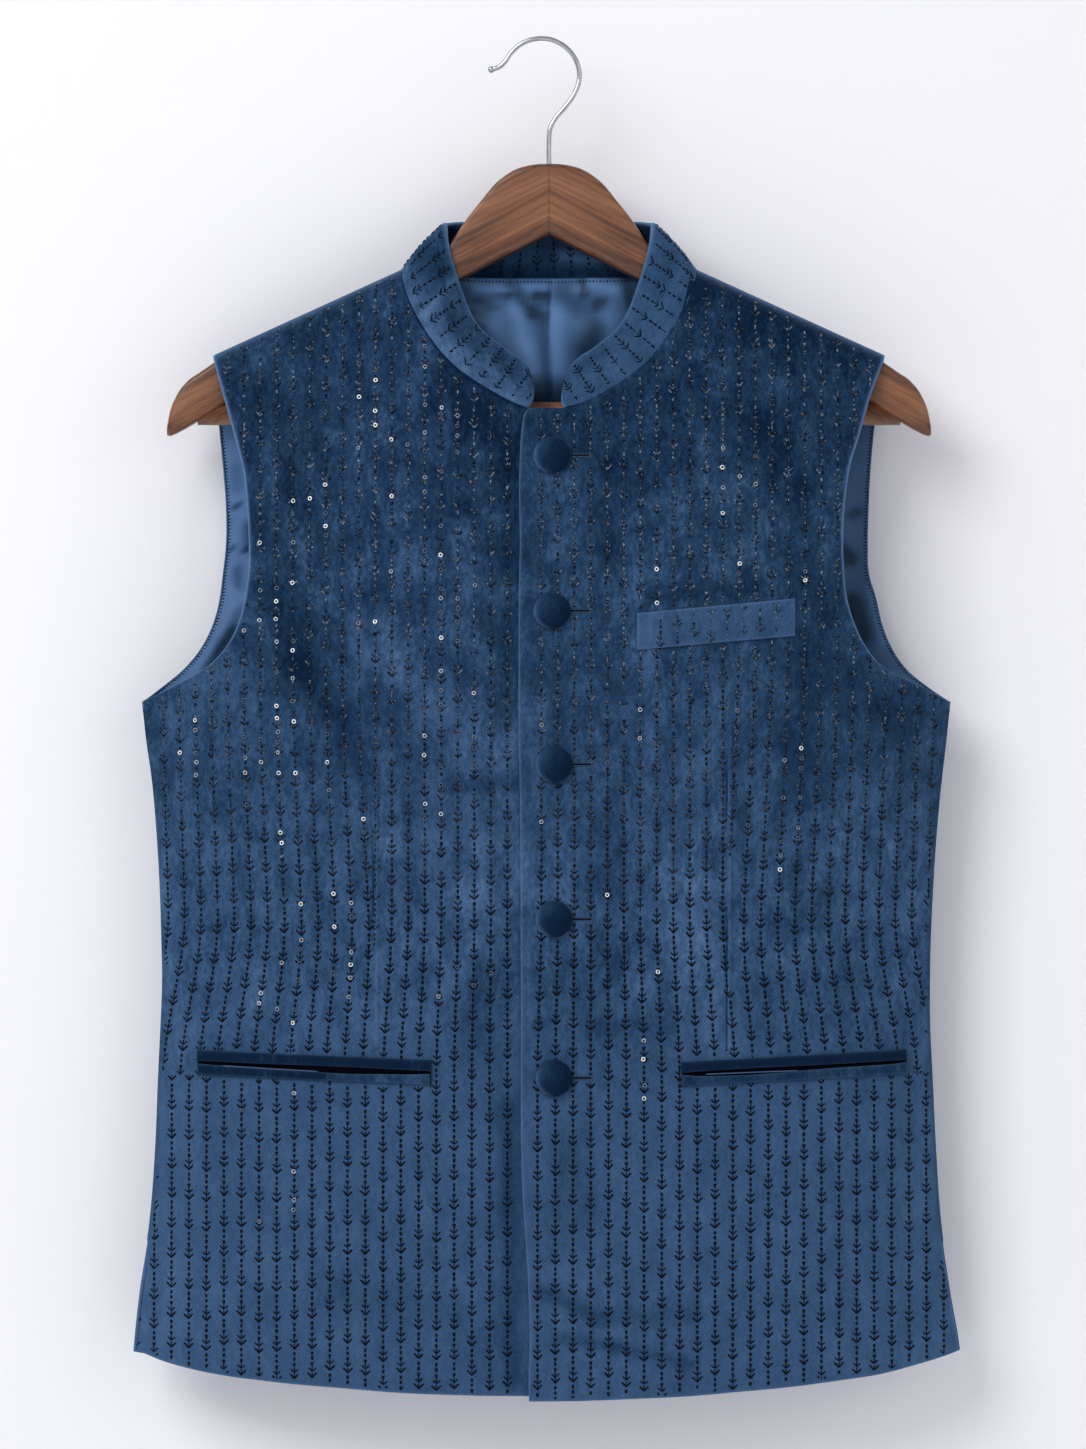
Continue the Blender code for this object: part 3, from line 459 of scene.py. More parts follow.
SIDE_DROPS = column(SIDE_ROWS, SIDE_COLUMNS, "drop")
SIDE_LEFT = column(SIDE_ROWS, SIDE_COLUMNS, "left")
SIDE_RIGHT = column(SIDE_ROWS, SIDE_COLUMNS, "right")
DEPTH_DROPS = column(DEPTH_ROWS, DEPTH_COLUMNS, "drop")
DEPTHS = {name: column(DEPTH_ROWS, DEPTH_COLUMNS, name) for name in DEPTH_COLUMNS[1:]}


def smooth_step(share):
    """Zero to one with level ends."""
    held = np.clip(share, 0.0, 1.0)
    return held * held * (3.0 - 2.0 * held)


def unit(vectors):
    """Vectors made one long."""
    return vectors / np.maximum(np.linalg.norm(vectors, axis=-1, keepdims=True), 1e-12)


def lattice_noise(x, y, size, seed):
    """Smooth noise from -1 to 1 with features of the given size."""
    table = np.random.default_rng(seed).uniform(-1.0, 1.0, (64, 64))
    gx = np.asarray(x) / size
    gy = np.asarray(y) / size
    ix = np.floor(gx).astype(int)
    iy = np.floor(gy).astype(int)
    fx = smooth_step(gx - ix)
    fy = smooth_step(gy - iy)
    ix, iy = np.broadcast_arrays(ix, iy)
    a = table[ix % 64, iy % 64]
    b = table[(ix + 1) % 64, iy % 64]
    c = table[ix % 64, (iy + 1) % 64]
    d = table[(ix + 1) % 64, (iy + 1) % 64]
    return (a * (1 - fx) + b * fx) * (1 - fy) + (c * (1 - fx) + d * fx) * fy


# The cloth's surfaces.

def half_width(u, drop):
    """Half width of the cloth on the side that u lies on."""
    left = hermite(SIDE_DROPS, SIDE_LEFT, drop)
    right = hermite(SIDE_DROPS, SIDE_RIGHT, drop)
    blend = smooth_step((np.asarray(u) + 60.0) / 120.0)
    return left * (1.0 - blend) + right * blend


def cloth_share(u, drop):
    """How much of the full depth the cloth has here."""
    across = np.clip(np.abs(u) / half_width(u, drop), 0.0, 1.0)
    lens = 0.35 * (1.0 - across ** 2) + 0.65 * (1.0 - across ** 6)
    below = np.maximum(drop - NECK_POINT[1] - (np.abs(u) - NECK_POINT[0]) * SHOULDER_FALL, 0.0)
    turn = np.clip(1.0 - below / RIDGE_ROUND, 0.0, 1.0)
    ridge = RIDGE_SHARE * np.sqrt(np.maximum(1.0 - turn * turn, 0.0))
    return lens * (ridge + (1.0 - RIDGE_SHARE) * smooth_step(below / RIDGE_SPREAD))


def segment_distance(u, drop, u_start, drop_start, u_end, drop_end):
    """Distance from a straight line between two places."""
    along_u = u_end - u_start
    along_drop = drop_end - drop_start
    length_squared = along_u ** 2 + along_drop ** 2
    share = ((u - u_start) * along_u + (drop - drop_start) * along_drop) / length_squared
    share = np.clip(share, 0.0, 1.0)
    return np.hypot(u - u_start - share * along_u, drop - drop_start - share * along_drop)


def fold_height(rows, u, drop):
    """The sum of the folds at a point, fading out at the side seams."""
    total = np.zeros(np.broadcast(u, drop).shape)
    for u_start, drop_start, u_end, drop_end, width, height in rows:
        away = segment_distance(u, drop, u_start, drop_start, u_end, drop_end)
        total = total + height * np.exp(-(away / width) ** 2)
    return total * smooth_step((half_width(u, drop) - np.abs(u)) / 14.0)


def dart_depth(u, drop):
    """How far the darts' seams draw the cloth in."""
    total = np.zeros(np.broadcast(u, drop).shape)
    for dart_u, drop_start, drop_end in DART_ROWS:
        away = segment_distance(u, drop, dart_u, drop_start, dart_u, drop_end)
        total = total + DART_DEPTH * np.exp(-(away / DART_WIDTH) ** 2)
    return total


def unevenness(u, drop, seed):
    """Soft waves of cloth that has been worn and hung, fading out at the side seams."""
    waves = 0.55 * lattice_noise(u + 400.0, drop, 46.0, seed)
    waves = waves + 0.22 * lattice_noise(u + 430.0, drop, 19.0, seed + 1)
    return waves * smooth_step((half_width(u, drop) - np.abs(u)) / 16.0)


def lapping_y(u, drop):
    """Outside of the lapping front."""
    depth = hermite(DEPTH_DROPS, DEPTHS["front"], drop) * cloth_share(u, drop)
    seam_y = hermite(DEPTH_DROPS, DEPTHS["seam_y"], drop)
    raised = fold_height(FRONT_FOLD_ROWS, u, drop) + fold_height(FINE_FOLD_ROWS, u, drop)
    return seam_y - depth - raised + dart_depth(u, drop) - unevenness(u, drop, 11)


def under_y(u, drop):
    """Outside of the under front."""
    return lapping_y(u, drop) + LAP_DEPTH * smooth_step((u - LAP_START) / LAP_WIDTH)


def back_y(u, drop):
    """Outside of the back."""
    depth = hermite(DEPTH_DROPS, DEPTHS["back"], drop) * cloth_share(u, drop)
    seam_y = hermite(DEPTH_DROPS, DEPTHS["seam_y"], drop)
    return seam_y + depth + fold_height(BACK_FOLD_ROWS, u, drop) + unevenness(u, drop, 21)


def surface_points(height, places):
    """Points x, y, z on a cloth surface at places given as u and drop."""
    u = places[..., 0]
    drop = places[..., 1]
    return np.stack([u, height(u, drop), -drop], axis=-1)


def inward_normals(height, places, facing, step=0.4):
    """Unit normals pointing into the jacket; facing is -1 for a front and 1 for the back."""
    u = places[..., 0]
    drop = places[..., 1]
    slope_u = (height(u + step, drop) - height(u - step, drop)) / (2.0 * step)
    slope_z = (height(u, drop - step) - height(u, drop + step)) / (2.0 * step)
    normals = np.stack([slope_u, -np.ones_like(slope_u), slope_z], axis=-1) * facing
    return unit(normals)


# Runs of points along edges.

def smooth_run(points, shares):
    """Places at shares of the length of a smooth curve through points."""
    points = np.asarray(points, dtype=float)
    steps = np.linalg.norm(np.diff(points, axis=0), axis=1)
    lengths = np.concatenate([[0.0], np.cumsum(steps)])
    wanted = np.asarray(shares) * lengths[-1]
    return np.stack([hermite(lengths, points[:, i], wanted) for i in range(points.shape[1])], axis=-1)


def spread(length, step, start, end):
    """Shares of a length: given fine steps at both ends and even steps between them."""
    start = np.asarray(start, dtype=float)
    end = length - np.asarray(end, dtype=float)[::-1]
    count = max(2, int(round((end[0] - start[-1]) / step)) + 1)
    middle = np.linspace(start[-1], end[0], count)[1:-1]
    return np.concatenate([start, middle, end]) / length


def two_runs(first, second, joint, shares):
    """One edge made of two smooth runs that meet at a share of the whole."""
    low = shares[shares <= joint]
    high = shares[shares > joint]
    above = smooth_run(second, (high - joint) / (1.0 - joint))
    return np.concatenate([smooth_run(first, low / joint), above])


def patch(bottom, top, first, last, across, upward):
    """A grid of places between four edges that meet at the corners."""
    a = across[None, :, None]
    b = upward[:, None, None]
    grid = (1.0 - b) * bottom[None] + b * top[None] + (1.0 - a) * first[:, None] + a * last[:, None]
    corners = (1.0 - a) * (1.0 - b) * bottom[0] + a * (1.0 - b) * bottom[-1]
    return grid - corners - (1.0 - a) * b * top[0] - a * b * top[-1]


EDGE_STEPS = (0.0, 0.25, 0.7, 1.3, 2.4, 4.2)
SEAM_STEPS = (0.0, 0.5, 1.4, 3.0, 5.0)
TOP_STEPS = (0.0, 0.3, 0.9, 1.8, 3.2, 5.2, 7.8, 11.0)
LOWER_SHARE = 0.655
NECK_SHARE = 0.42
ROW_LENGTH = 600.0
COLUMN_LENGTH = 258.0


def side_run(side, hem_corner, inset):
    """A side seam from the hem corner to the armpit."""
    drops = np.linspace(hem_corner[1], ARMPIT_DROP, 40)
    widths = hermite(SIDE_DROPS, SIDE_LEFT if side < 0 else SIDE_RIGHT, drops)
    widths = widths - inset * smooth_step((drops - VENT_TOP) / 30.0)
    return np.stack([side * widths, drops], axis=-1)


def armhole_run(rows, side):
    """An armhole edge from the armpit up to the shoulder tip."""
    widths = column(rows, ARMHOLE_COLUMNS, "left" if side < 0 else "right")
    drops = column(rows, ARMHOLE_COLUMNS, "drop")
    return np.stack([side * widths, drops], axis=-1)[::-1]


def front_places(side, edge, top_run, hem, step):
    """The grid of a front: rows from the hem to the top, columns from the front edge outwards."""
    neck = [(side * row[0], row[1]) for row in COLLAR_FRONT_ROWS]
    across = spread(COLUMN_LENGTH, step, EDGE_STEPS, SEAM_STEPS)
    across = np.unique(np.round(np.append(across, NECK_SHARE), 6))
    upward = spread(ROW_LENGTH, step, EDGE_STEPS, TOP_STEPS)
    upward = np.unique(np.round(np.append(upward, LOWER_SHARE), 6))
    shoulder = [(side * NECK_POINT[0], NECK_POINT[1]), (side * SHOULDER_TIP[0], SHOULDER_TIP[1])]
    top = two_runs(list(top_run) + neck[1:], shoulder, NECK_SHARE, across)
    seam = side_run(side, hem[-1], VENT_INSET if side < 0 else 0.0)
    hem = np.array(list(hem[:-1]) + [tuple(seam[0])])
    bottom = smooth_run(hem, across)
    last = two_runs(seam, armhole_run(FRONT_ARMHOLE_ROWS, side), LOWER_SHARE, upward)
    edge = np.array(edge)
    joint = np.array([[np.interp(-ARMPIT_DROP, -edge[:, 1], edge[:, 0]), ARMPIT_DROP]])
    below = np.concatenate([edge[edge[:, 1] > ARMPIT_DROP], joint])
    above = np.concatenate([joint, edge[edge[:, 1] < ARMPIT_DROP]])
    first = two_runs(below, above, LOWER_SHARE, upward)
    first[0] = bottom[0]
    first[-1] = top[0]
    last[0] = bottom[-1]
    last[-1] = top[-1]
    return patch(bottom, top, first, last, across, upward), across, upward


def back_places(step):
    """The grid of the back, from the hem to the top."""
    neck = [(-NECK_POINT[0], NECK_POINT[1])] + [(-row[0], row[1]) for row in COLLAR_BACK_ROWS]
    neck += [(row[0], row[1]) for row in COLLAR_BACK_ROWS[::-1][1:]] + [NECK_POINT]
    across = spread(2 * COLUMN_LENGTH, step, SEAM_STEPS, SEAM_STEPS)
    joints = (0.29, 0.71)
    across = np.unique(np.round(np.append(across, joints), 6))
    upward = spread(ROW_LENGTH, step, EDGE_STEPS, TOP_STEPS)
    upward = np.unique(np.round(np.append(upward, LOWER_SHARE), 6))
    left = [(-SHOULDER_TIP[0], SHOULDER_TIP[1]), (-NECK_POINT[0], NECK_POINT[1])]
    right = [NECK_POINT, SHOULDER_TIP]
    low = across[across <= joints[0]] / joints[0]
    middle = across[(across > joints[0]) & (across < joints[1])]
    middle = (middle - joints[0]) / (joints[1] - joints[0])
    high = (across[across >= joints[1]] - joints[1]) / (1.0 - joints[1])
    top = np.concatenate([smooth_run(left, low), smooth_run(neck, middle), smooth_run(right, high)])
    hem = np.array(BACK_HEM)
    left_seam = side_run(-1, hem[0], 0.0)
    right_seam = side_run(1, hem[-1], 0.0)
    hem[0] = left_seam[0]
    hem[-1] = right_seam[0]
    bottom = smooth_run(hem, across)
    first = two_runs(left_seam, armhole_run(BACK_ARMHOLE_ROWS, -1), LOWER_SHARE, upward)
    last = two_runs(right_seam, armhole_run(BACK_ARMHOLE_ROWS, 1), LOWER_SHARE, upward)
    first[-1] = top[0]
    last[-1] = top[-1]
    return patch(bottom, top, first, last, across, upward), across, upward, joints


def collar_lines(side):
    """Seam points, top points, inward directions and shared mitres of one half of the collar."""
    height = under_y if side < 0 else lapping_y
    seam = []
    top = []
    panel = []
    for rows, surface, facing in ((COLLAR_FRONT_ROWS, height, -1.0), (COLLAR_BACK_ROWS, back_y, 1.0)):
        for seam_u, seam_drop, top_u, top_y, top_drop in rows:
            place = np.array([side * seam_u, seam_drop])
            seam.append(surface_points(surface, place))
            top.append((side * top_u, top_y, -top_drop))
            panel.append(inward_normals(surface, place, facing))
    seam = np.array(seam)
    top = np.array(top)
    panel = np.array(panel)
    neck_index = len(COLLAR_FRONT_ROWS) - 1
    panel[neck_index] = (-side * math.sin(SHOULDER_TILT), 0.0, -math.cos(SHOULDER_TILT))
    tangent = np.gradient(seam, axis=0)
    band = unit(np.cross(top - seam, tangent)) * side
    mitre = unit(panel + band)
    mitre[neck_index] = unit(mitre[neck_index] * (1.0, 0.0, 1.0))
    stretch = 1.0 / np.maximum((mitre * panel).sum(axis=1, keepdims=True), 0.62)
    return seam, top, band, mitre * stretch, neck_index


def mitre_at(points, seam, mitre):
    """The shared mitre at points near the neck seam, from the nearest table rows."""
    away = np.linalg.norm(points[:, None] - seam[None], axis=-1)
    weights = 1.0 / (away + 0.4) ** 3
    weights = weights / weights.sum(axis=1, keepdims=True)
    return weights @ mitre


# Making mesh objects.

def mesh_object(name, vertices, faces, materials, face_materials=None, values=None):
    """A smooth-shaded object on the root body, with per-point values for its material."""
    mesh = bpy.data.meshes.new(name)
    points = np.asarray(vertices, dtype=float).copy()
    points[:, 0] += CENTRE_X
    points *= MM
    faces = np.asarray(faces, dtype=np.int32)
    corners = faces.shape[1]
    mesh.vertices.add(len(points))
    mesh.vertices.foreach_set("co", points.ravel())
    mesh.loops.add(faces.size)
    mesh.loops.foreach_set("vertex_index", faces.ravel())
    mesh.polygons.add(len(faces))
    mesh.polygons.foreach_set("loop_start", np.arange(len(faces), dtype=np.int32) * corners)
    mesh.polygons.foreach_set("loop_total", np.full(len(faces), corners, dtype=np.int32))
    mesh.update(calc_edges=True)
    mesh.validate()
    for material in materials:
        mesh.materials.append(material)
    if face_materials is not None:
        mesh.polygons.foreach_set("material_index", np.asarray(face_materials, dtype=np.int32))
    for key, numbers in (values or {}).items():
        attribute = mesh.attributes.new(key, "FLOAT", "POINT")
        attribute.data.foreach_set("value", np.asarray(numbers, dtype=np.float32).ravel())
    mesh.shade_smooth()
    item = bpy.data.objects.new(name, mesh)
    bpy.context.scene.collection.objects.link(item)
    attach(item, "root")
    return item


def rim_of(rows, columns):
    """Indices of a grid's border, once round."""
    rim = list(range(columns))
    rim += [row * columns + columns - 1 for row in range(1, rows)]
    rim += [(rows - 1) * columns + col for col in range(columns - 2, -1, -1)]
    rim += [row * columns for row in range(rows - 2, 0, -1)]
    return np.array(rim)


def sheet_object(name, outer, inner, materials, values=None, flip=False, inside=None):
    """A sheet of cloth with thickness; the inside may have a material and values of its own."""
    rows, columns = outer.shape[:2]
    count = rows * columns
    index = np.arange(count).reshape(rows, columns)
    a = index[:-1, :-1].ravel()
    b = index[:-1, 1:].ravel()
    c = index[1:, 1:].ravel()
    d = index[1:, :-1].ravel()
    front = np.stack([a, b, c, d], axis=1)
    back = np.stack([d, c, b, a], axis=1) + count
    rim = rim_of(rows, columns)
    after = np.roll(rim, -1)
    side = np.stack([rim, rim + count, after + count, after], axis=1)
    faces = np.concatenate([front, back, side])
    if flip:
        faces = faces[:, ::-1]
    kinds = np.zeros(len(faces), dtype=int)
    if len(materials) > 1:
        kinds[len(front):len(front) + len(back)] = 1
    vertices = np.concatenate([outer.reshape(-1, 3), inner.reshape(-1, 3)])
    values = values or {}
    inside = {**values, **(inside or {})}
    doubled = {key: np.concatenate([np.ravel(values[key]), np.ravel(inside[key])]) for key in values}
    return mesh_object(name, vertices, faces, materials, kinds, doubled)


def rounded(outer, inner, distance, radius=EDGE_ROUND):
    """Rolls the outside over towards the inside near an edge, by each point's distance from it."""
    held = np.clip(distance / radius, 0.0, 1.0)
    roll = min(radius, 1.15) * (1.0 - np.sqrt(np.maximum(1.0 - (1.0 - held) ** 2, 0.0)))
    toward = unit(inner - outer)
    moved_out = outer + toward * roll[..., None]
    moved_in = inner - toward * roll[..., None]
    return moved_out, moved_in


def strokes(starts, ends, lifts, radii):
    """Closed bead-shaped stitches: two rings of three points between two tips, for each."""
    starts = np.asarray(starts)
    ends = np.asarray(ends)
    along = unit(ends - starts)
    side = unit(np.cross(along, lifts))
    radii = np.asarray(radii)[:, None]
    up = lifts * radii
    blocks = [starts, ends]
    for share, size in ((0.18, 1.08), (0.80, 0.86)):
        middle = starts + (ends - starts) * share
        blocks += [middle + up * (0.75 * size), middle + (side * radii - up * 0.25) * size,
                   middle - (side * radii + up * 0.25) * size]
    points = np.stack(blocks, axis=1)
    faces = np.array([(0, 2, 3), (0, 3, 4), (0, 4, 2), (1, 6, 5), (1, 7, 6), (1, 5, 7),
                      (2, 5, 6), (2, 6, 3), (3, 6, 7), (3, 7, 4), (4, 7, 5), (4, 5, 2)])
    count = len(starts)
    all_faces = faces[None] + (np.arange(count) * 8)[:, None, None]
    return points.reshape(-1, 3), all_faces.reshape(-1, 3)


def rings(centres, normals, radius, wire, sides=8, tube=4):
    """Closed little rings lying on the cloth."""
    centres = np.asarray(centres)
    normals = unit(np.asarray(normals))
    first = unit(np.cross(normals, np.array([0.31, 0.2, 0.93])))
    second = np.cross(normals, first)
    blocks = []
    for step in range(sides):
        angle = 2.0 * math.pi * step / sides
        out = first * math.cos(angle) + second * math.sin(angle)
        for turn in range(tube):
            round_angle = 2.0 * math.pi * turn / tube
            shift = out * (radius + wire * math.cos(round_angle))
            shift = shift + normals * (wire * 0.6 * math.sin(round_angle))
            blocks.append(centres + shift)
    points = np.stack(blocks, axis=1)
    faces = []
    for step in range(sides):
        for turn in range(tube):
            a = step * tube + turn
            b = ((step + 1) % sides) * tube + turn
            c = ((step + 1) % sides) * tube + (turn + 1) % tube
            d = step * tube + (turn + 1) % tube
            faces.append((a, b, c, d))
    faces = np.array(faces)
    all_faces = faces[None] + (np.arange(len(centres)) * sides * tube)[:, None, None]
    return points.reshape(-1, 3), all_faces.reshape(-1, 4)


def tube_along(points, radius, sides=8):
    """A round cord through points, closed at both ends with small rings."""
    points = np.asarray(points, dtype=float)
    tangents = unit(np.gradient(points, axis=0))
    guide = np.array([0.0, 1.0, 0.0])
    side = unit(np.cross(tangents, guide) + 1e-9)
    other = np.cross(tangents, side)
    radii = np.broadcast_to(radius, len(points)).astype(float).copy()
    radii[0] *= 0.05
    radii[-1] *= 0.05
    blocks = []
    for step in range(sides):
        angle = 2.0 * math.pi * step / sides
        blocks.append(points + radii[:, None] * (side * math.cos(angle) + other * math.sin(angle)))
    grid = np.stack(blocks, axis=1).reshape(-1, 3)
    faces = []
    for ring in range(len(points) - 1):
        for step in range(sides):
            a = ring * sides + step
            b = ring * sides + (step + 1) % sides
            faces.append((a, b, b + sides, a + sides))
    return grid, np.array(faces)


# Materials.

class Nodes:
    """Short calls for building a node tree."""

    def __init__(self, name):
        self.material = bpy.data.materials.new(name)
        self.material.use_nodes = True
        self.tree = self.material.node_tree
        self.shader = self.tree.nodes["Principled BSDF"]

    def add(self, kind, **settings):
        node = self.tree.nodes.new(kind)
        for key, value in settings.items():
            setattr(node, key, value)
        return node

    def link(self, start, end):
        self.tree.links.new(start, end)

    def noise(self, vector, scale, detail=3.0, roughness=0.55):
        node = self.add("ShaderNodeTexNoise")
        node.inputs["Scale"].default_value = scale
        node.inputs["Detail"].default_value = detail
        node.inputs["Roughness"].default_value = roughness
        self.link(vector, node.inputs["Vector"])
        return node.outputs["Fac"]

    def scaled(self, vector, scale):
        node = self.add("ShaderNodeMapping")
        node.inputs["Scale"].default_value = scale
        self.link(vector, node.inputs["Vector"])
        return node.outputs["Vector"]

    def ramp(self, value, stops):
        node = self.add("ShaderNodeValToRGB")
        elements = node.color_ramp.elements
        while len(elements) < len(stops):
            elements.new(0.5)
        for element, (position, colour) in zip(elements, stops):
            element.position = position
            element.color = colour + (1.0,)
        self.link(value, node.inputs["Fac"])
        return node.outputs["Color"]

    def mix(self, factor, first, second, blend="MIX"):
        node = self.add("ShaderNodeMix", data_type="RGBA", blend_type=blend)
        for value, socket in ((factor, node.inputs[0]), (first, node.inputs[6]), (second, node.inputs[7])):
            if isinstance(value, (int, float)):
                socket.default_value = value
            elif isinstance(value, tuple):
                socket.default_value = value + (1.0,)
            else:
                self.link(value, socket)
        return node.outputs[2]

    def maths(self, operation, first, second=0.0):
        node = self.add("ShaderNodeMath", operation=operation)
        for value, socket in ((first, node.inputs[0]), (second, node.inputs[1])):
            if isinstance(value, (int, float)):
                socket.default_value = value
            else:
                self.link(value, socket)
        return node.outputs[0]

    def bump(self, height, strength, distance, below=None):
        node = self.add("ShaderNodeBump")
        node.inputs["Strength"].default_value = strength
        node.inputs["Distance"].default_value = distance
        self.link(height, node.inputs["Height"])
        if below is not None:
            self.link(below, node.inputs["Normal"])
        return node.outputs["Normal"]

    def attribute(self, name):
        node = self.add("ShaderNodeAttribute", attribute_name=name)
        return node.outputs["Fac"]

    def place(self):
        return self.add("ShaderNodeTexCoord").outputs["Object"]


VELVET_STOPS = (
    (0.10, (0.0020, 0.0110, 0.0330)),
    (0.50, (0.0135, 0.0400, 0.0890)),
    (0.80, (0.0400, 0.0880, 0.1780)),
    (1.00, (0.0760, 0.1420, 0.2600)),
)
# Painted sheen: the light blue that the attribute rim mixes into the velvet along edges and shoulders.
VELVET_PAINTED_SHEEN = (0.125, 0.225, 0.420)


def velvet_material(name):
    """Velvet: brushed patches of nap, a fine twill of pile, painted sheen along its edges by the attribute
    rim, and painted light and shade within the attribute tone.
    """
    nodes = Nodes(name)
    place = nodes.place()
    turned = nodes.add("ShaderNodeMapping")
    turned.inputs["Rotation"].default_value = (0.0, math.radians(14.0), 0.0)
    turned.inputs["Scale"].default_value = (1.0, 1.0, 0.55)
    nodes.link(place, turned.inputs["Vector"])
    brushed = turned.outputs["Vector"]
    broad = nodes.noise(place, 17.0, 2.0, 0.5)
    patches = nodes.noise(brushed, 74.0, 4.0, 0.58)
    small = nodes.noise(brushed, 430.0, 3.0, 0.65)
    spread_out = nodes.maths("MULTIPLY", nodes.maths("SUBTRACT", broad, 0.5), 0.30)
    patchy = nodes.maths("MULTIPLY", nodes.maths("SUBTRACT", patches, 0.5), 0.80)
    grainy = nodes.maths("MULTIPLY", nodes.maths("SUBTRACT", small, 0.5), 0.68)
    deviation = nodes.maths("ADD", nodes.maths("ADD", spread_out, patchy), grainy)
    deviation = nodes.maths("MULTIPLY", deviation, nodes.attribute("cloud"))
    mixed = nodes.maths("ADD", nodes.maths("ADD", deviation, 0.5), nodes.attribute("tone"))
    weave = nodes.add("ShaderNodeTexWave", wave_type="BANDS", bands_direction="DIAGONAL")
    weave.inputs["Scale"].default_value = 300.0
    weave.inputs["Distortion"].default_value = 2.2
    weave.inputs["Detail"].default_value = 1.0
    nodes.link(nodes.scaled(place, (1.0, 0.0, -1.0)), weave.inputs["Vector"])
    fleck = nodes.maths("MULTIPLY", nodes.maths("SUBTRACT", weave.outputs["Fac"], 0.5), 0.16)
    colour = nodes.ramp(nodes.maths("ADD", mixed, fleck), VELVET_STOPS)
    # The attribute rim mixes in painted sheen where light catches the pile on edges.
    colour = nodes.mix(nodes.attribute("rim"), colour, VELVET_PAINTED_SHEEN)
    nodes.link(colour, nodes.shader.inputs["Base Color"])
    nodes.shader.inputs["Roughness"].default_value = 0.92
    nodes.shader.inputs["Specular IOR Level"].default_value = 0.05
    nodes.shader.inputs["Sheen Weight"].default_value = 0.16
    nodes.shader.inputs["Sheen Roughness"].default_value = 0.40
    nodes.shader.inputs["Sheen Tint"].default_value = (0.30, 0.55, 1.0, 1.0)
    soft = nodes.bump(patches, 0.45, 0.0022)
    pile = nodes.noise(place, 1500.0, 2.0, 0.6)
    nodes.link(nodes.bump(pile, 0.40, 0.00025, soft), nodes.shader.inputs["Normal"])
    return nodes.material


SATIN_STOPS = (
    (0.00, (0.0030, 0.0160, 0.0420)),
    (0.25, (0.0120, 0.0380, 0.0900)),
    (0.50, (0.0300, 0.0760, 0.1700)),
    (0.75, (0.0620, 0.1400, 0.3000)),
    (1.00, (0.1150, 0.2200, 0.4300)),
)


def satin_material(name):
    """Smooth satin with a faint weave, with painted light on its folds and painted shade between them, given
    by an attribute.
    """
    nodes = Nodes(name)
    place = nodes.place()
    broad = nodes.noise(nodes.scaled(place, (1.0, 1.0, 0.5)), 22.0, 2.0)
    uneven = nodes.maths("MULTIPLY", nodes.maths("SUBTRACT", broad, 0.5), 0.30)
    painted_light_and_shade = nodes.maths("ADD", nodes.maths("ADD", uneven, 0.5), nodes.attribute("painted_light_and_shade"))
    nodes.link(nodes.ramp(painted_light_and_shade, SATIN_STOPS), nodes.shader.inputs["Base Color"])
    nodes.shader.inputs["Roughness"].default_value = 0.36
    nodes.shader.inputs["Specular IOR Level"].default_value = 0.45
    nodes.shader.inputs["Specular Tint"].default_value = (0.55, 0.75, 1.0, 1.0)
    nodes.shader.inputs["Anisotropic"].default_value = 0.5
    weave = nodes.noise(nodes.scaled(place, (1.0, 1.0, 6.0)), 700.0, 2.0)
    soft = nodes.bump(nodes.noise(nodes.scaled(place, (1.0, 1.0, 0.35)), 42.0, 2.0), 0.35, 0.003)
    nodes.link(nodes.bump(weave, 0.10, 0.0002, soft), nodes.shader.inputs["Normal"])
    return nodes.material


def thread_material(name, lowest, highest):
    """Near black thread, mixed between two heights with grey stitches: a lighter thread with painted glints
    on it.
    """
    nodes = Nodes(name)
    place = nodes.place()
    parts = nodes.add("ShaderNodeSeparateXYZ")
    nodes.link(place, parts.inputs["Vector"])
    height = nodes.add("ShaderNodeMapRange", interpolation_type="SMOOTHSTEP")
    height.inputs["From Min"].default_value = lowest
    height.inputs["From Max"].default_value = highest
    nodes.link(parts.outputs["Z"], height.inputs["Value"])
    # Painted glints: noise that makes some stitches light grey, standing for light caught on them.
    painted_thread_glint = nodes.noise(place, 480.0, 2.0)
    grey = nodes.ramp(painted_thread_glint, ((0.42, (0.002, 0.006, 0.014)), (0.53, (0.034, 0.052, 0.080)),
                              (0.63, (0.190, 0.225, 0.280))))
    dark = nodes.ramp(painted_thread_glint, ((0.40, (0.0007, 0.0020, 0.0050)), (0.66, (0.0036, 0.0085, 0.0180))))
    nodes.link(nodes.mix(height.outputs["Result"], dark, grey), nodes.shader.inputs["Base Color"])
    nodes.shader.inputs["Roughness"].default_value = 0.70
    nodes.shader.inputs["Specular IOR Level"].default_value = 0.10
    fibre = nodes.noise(place, 2600.0, 1.0)
    nodes.link(nodes.bump(fibre, 0.3, 0.0002), nodes.shader.inputs["Normal"])
    return nodes.material


def plain_material(name, colour, roughness, metallic=0.0, noise_scale=900.0, bump=0.1):
    """A single colour with slight variation and a fine bump."""
    nodes = Nodes(name)
    place = nodes.place()
    vary = nodes.noise(place, noise_scale, 2.0)
    darker = tuple(c * 0.82 for c in colour)
    nodes.link(nodes.ramp(vary, ((0.35, darker), (0.65, colour))), nodes.shader.inputs["Base Color"])
    nodes.shader.inputs["Roughness"].default_value = roughness
    nodes.shader.inputs["Metallic"].default_value = metallic
    nodes.link(nodes.bump(vary, bump, 0.0001), nodes.shader.inputs["Normal"])
    return nodes.material


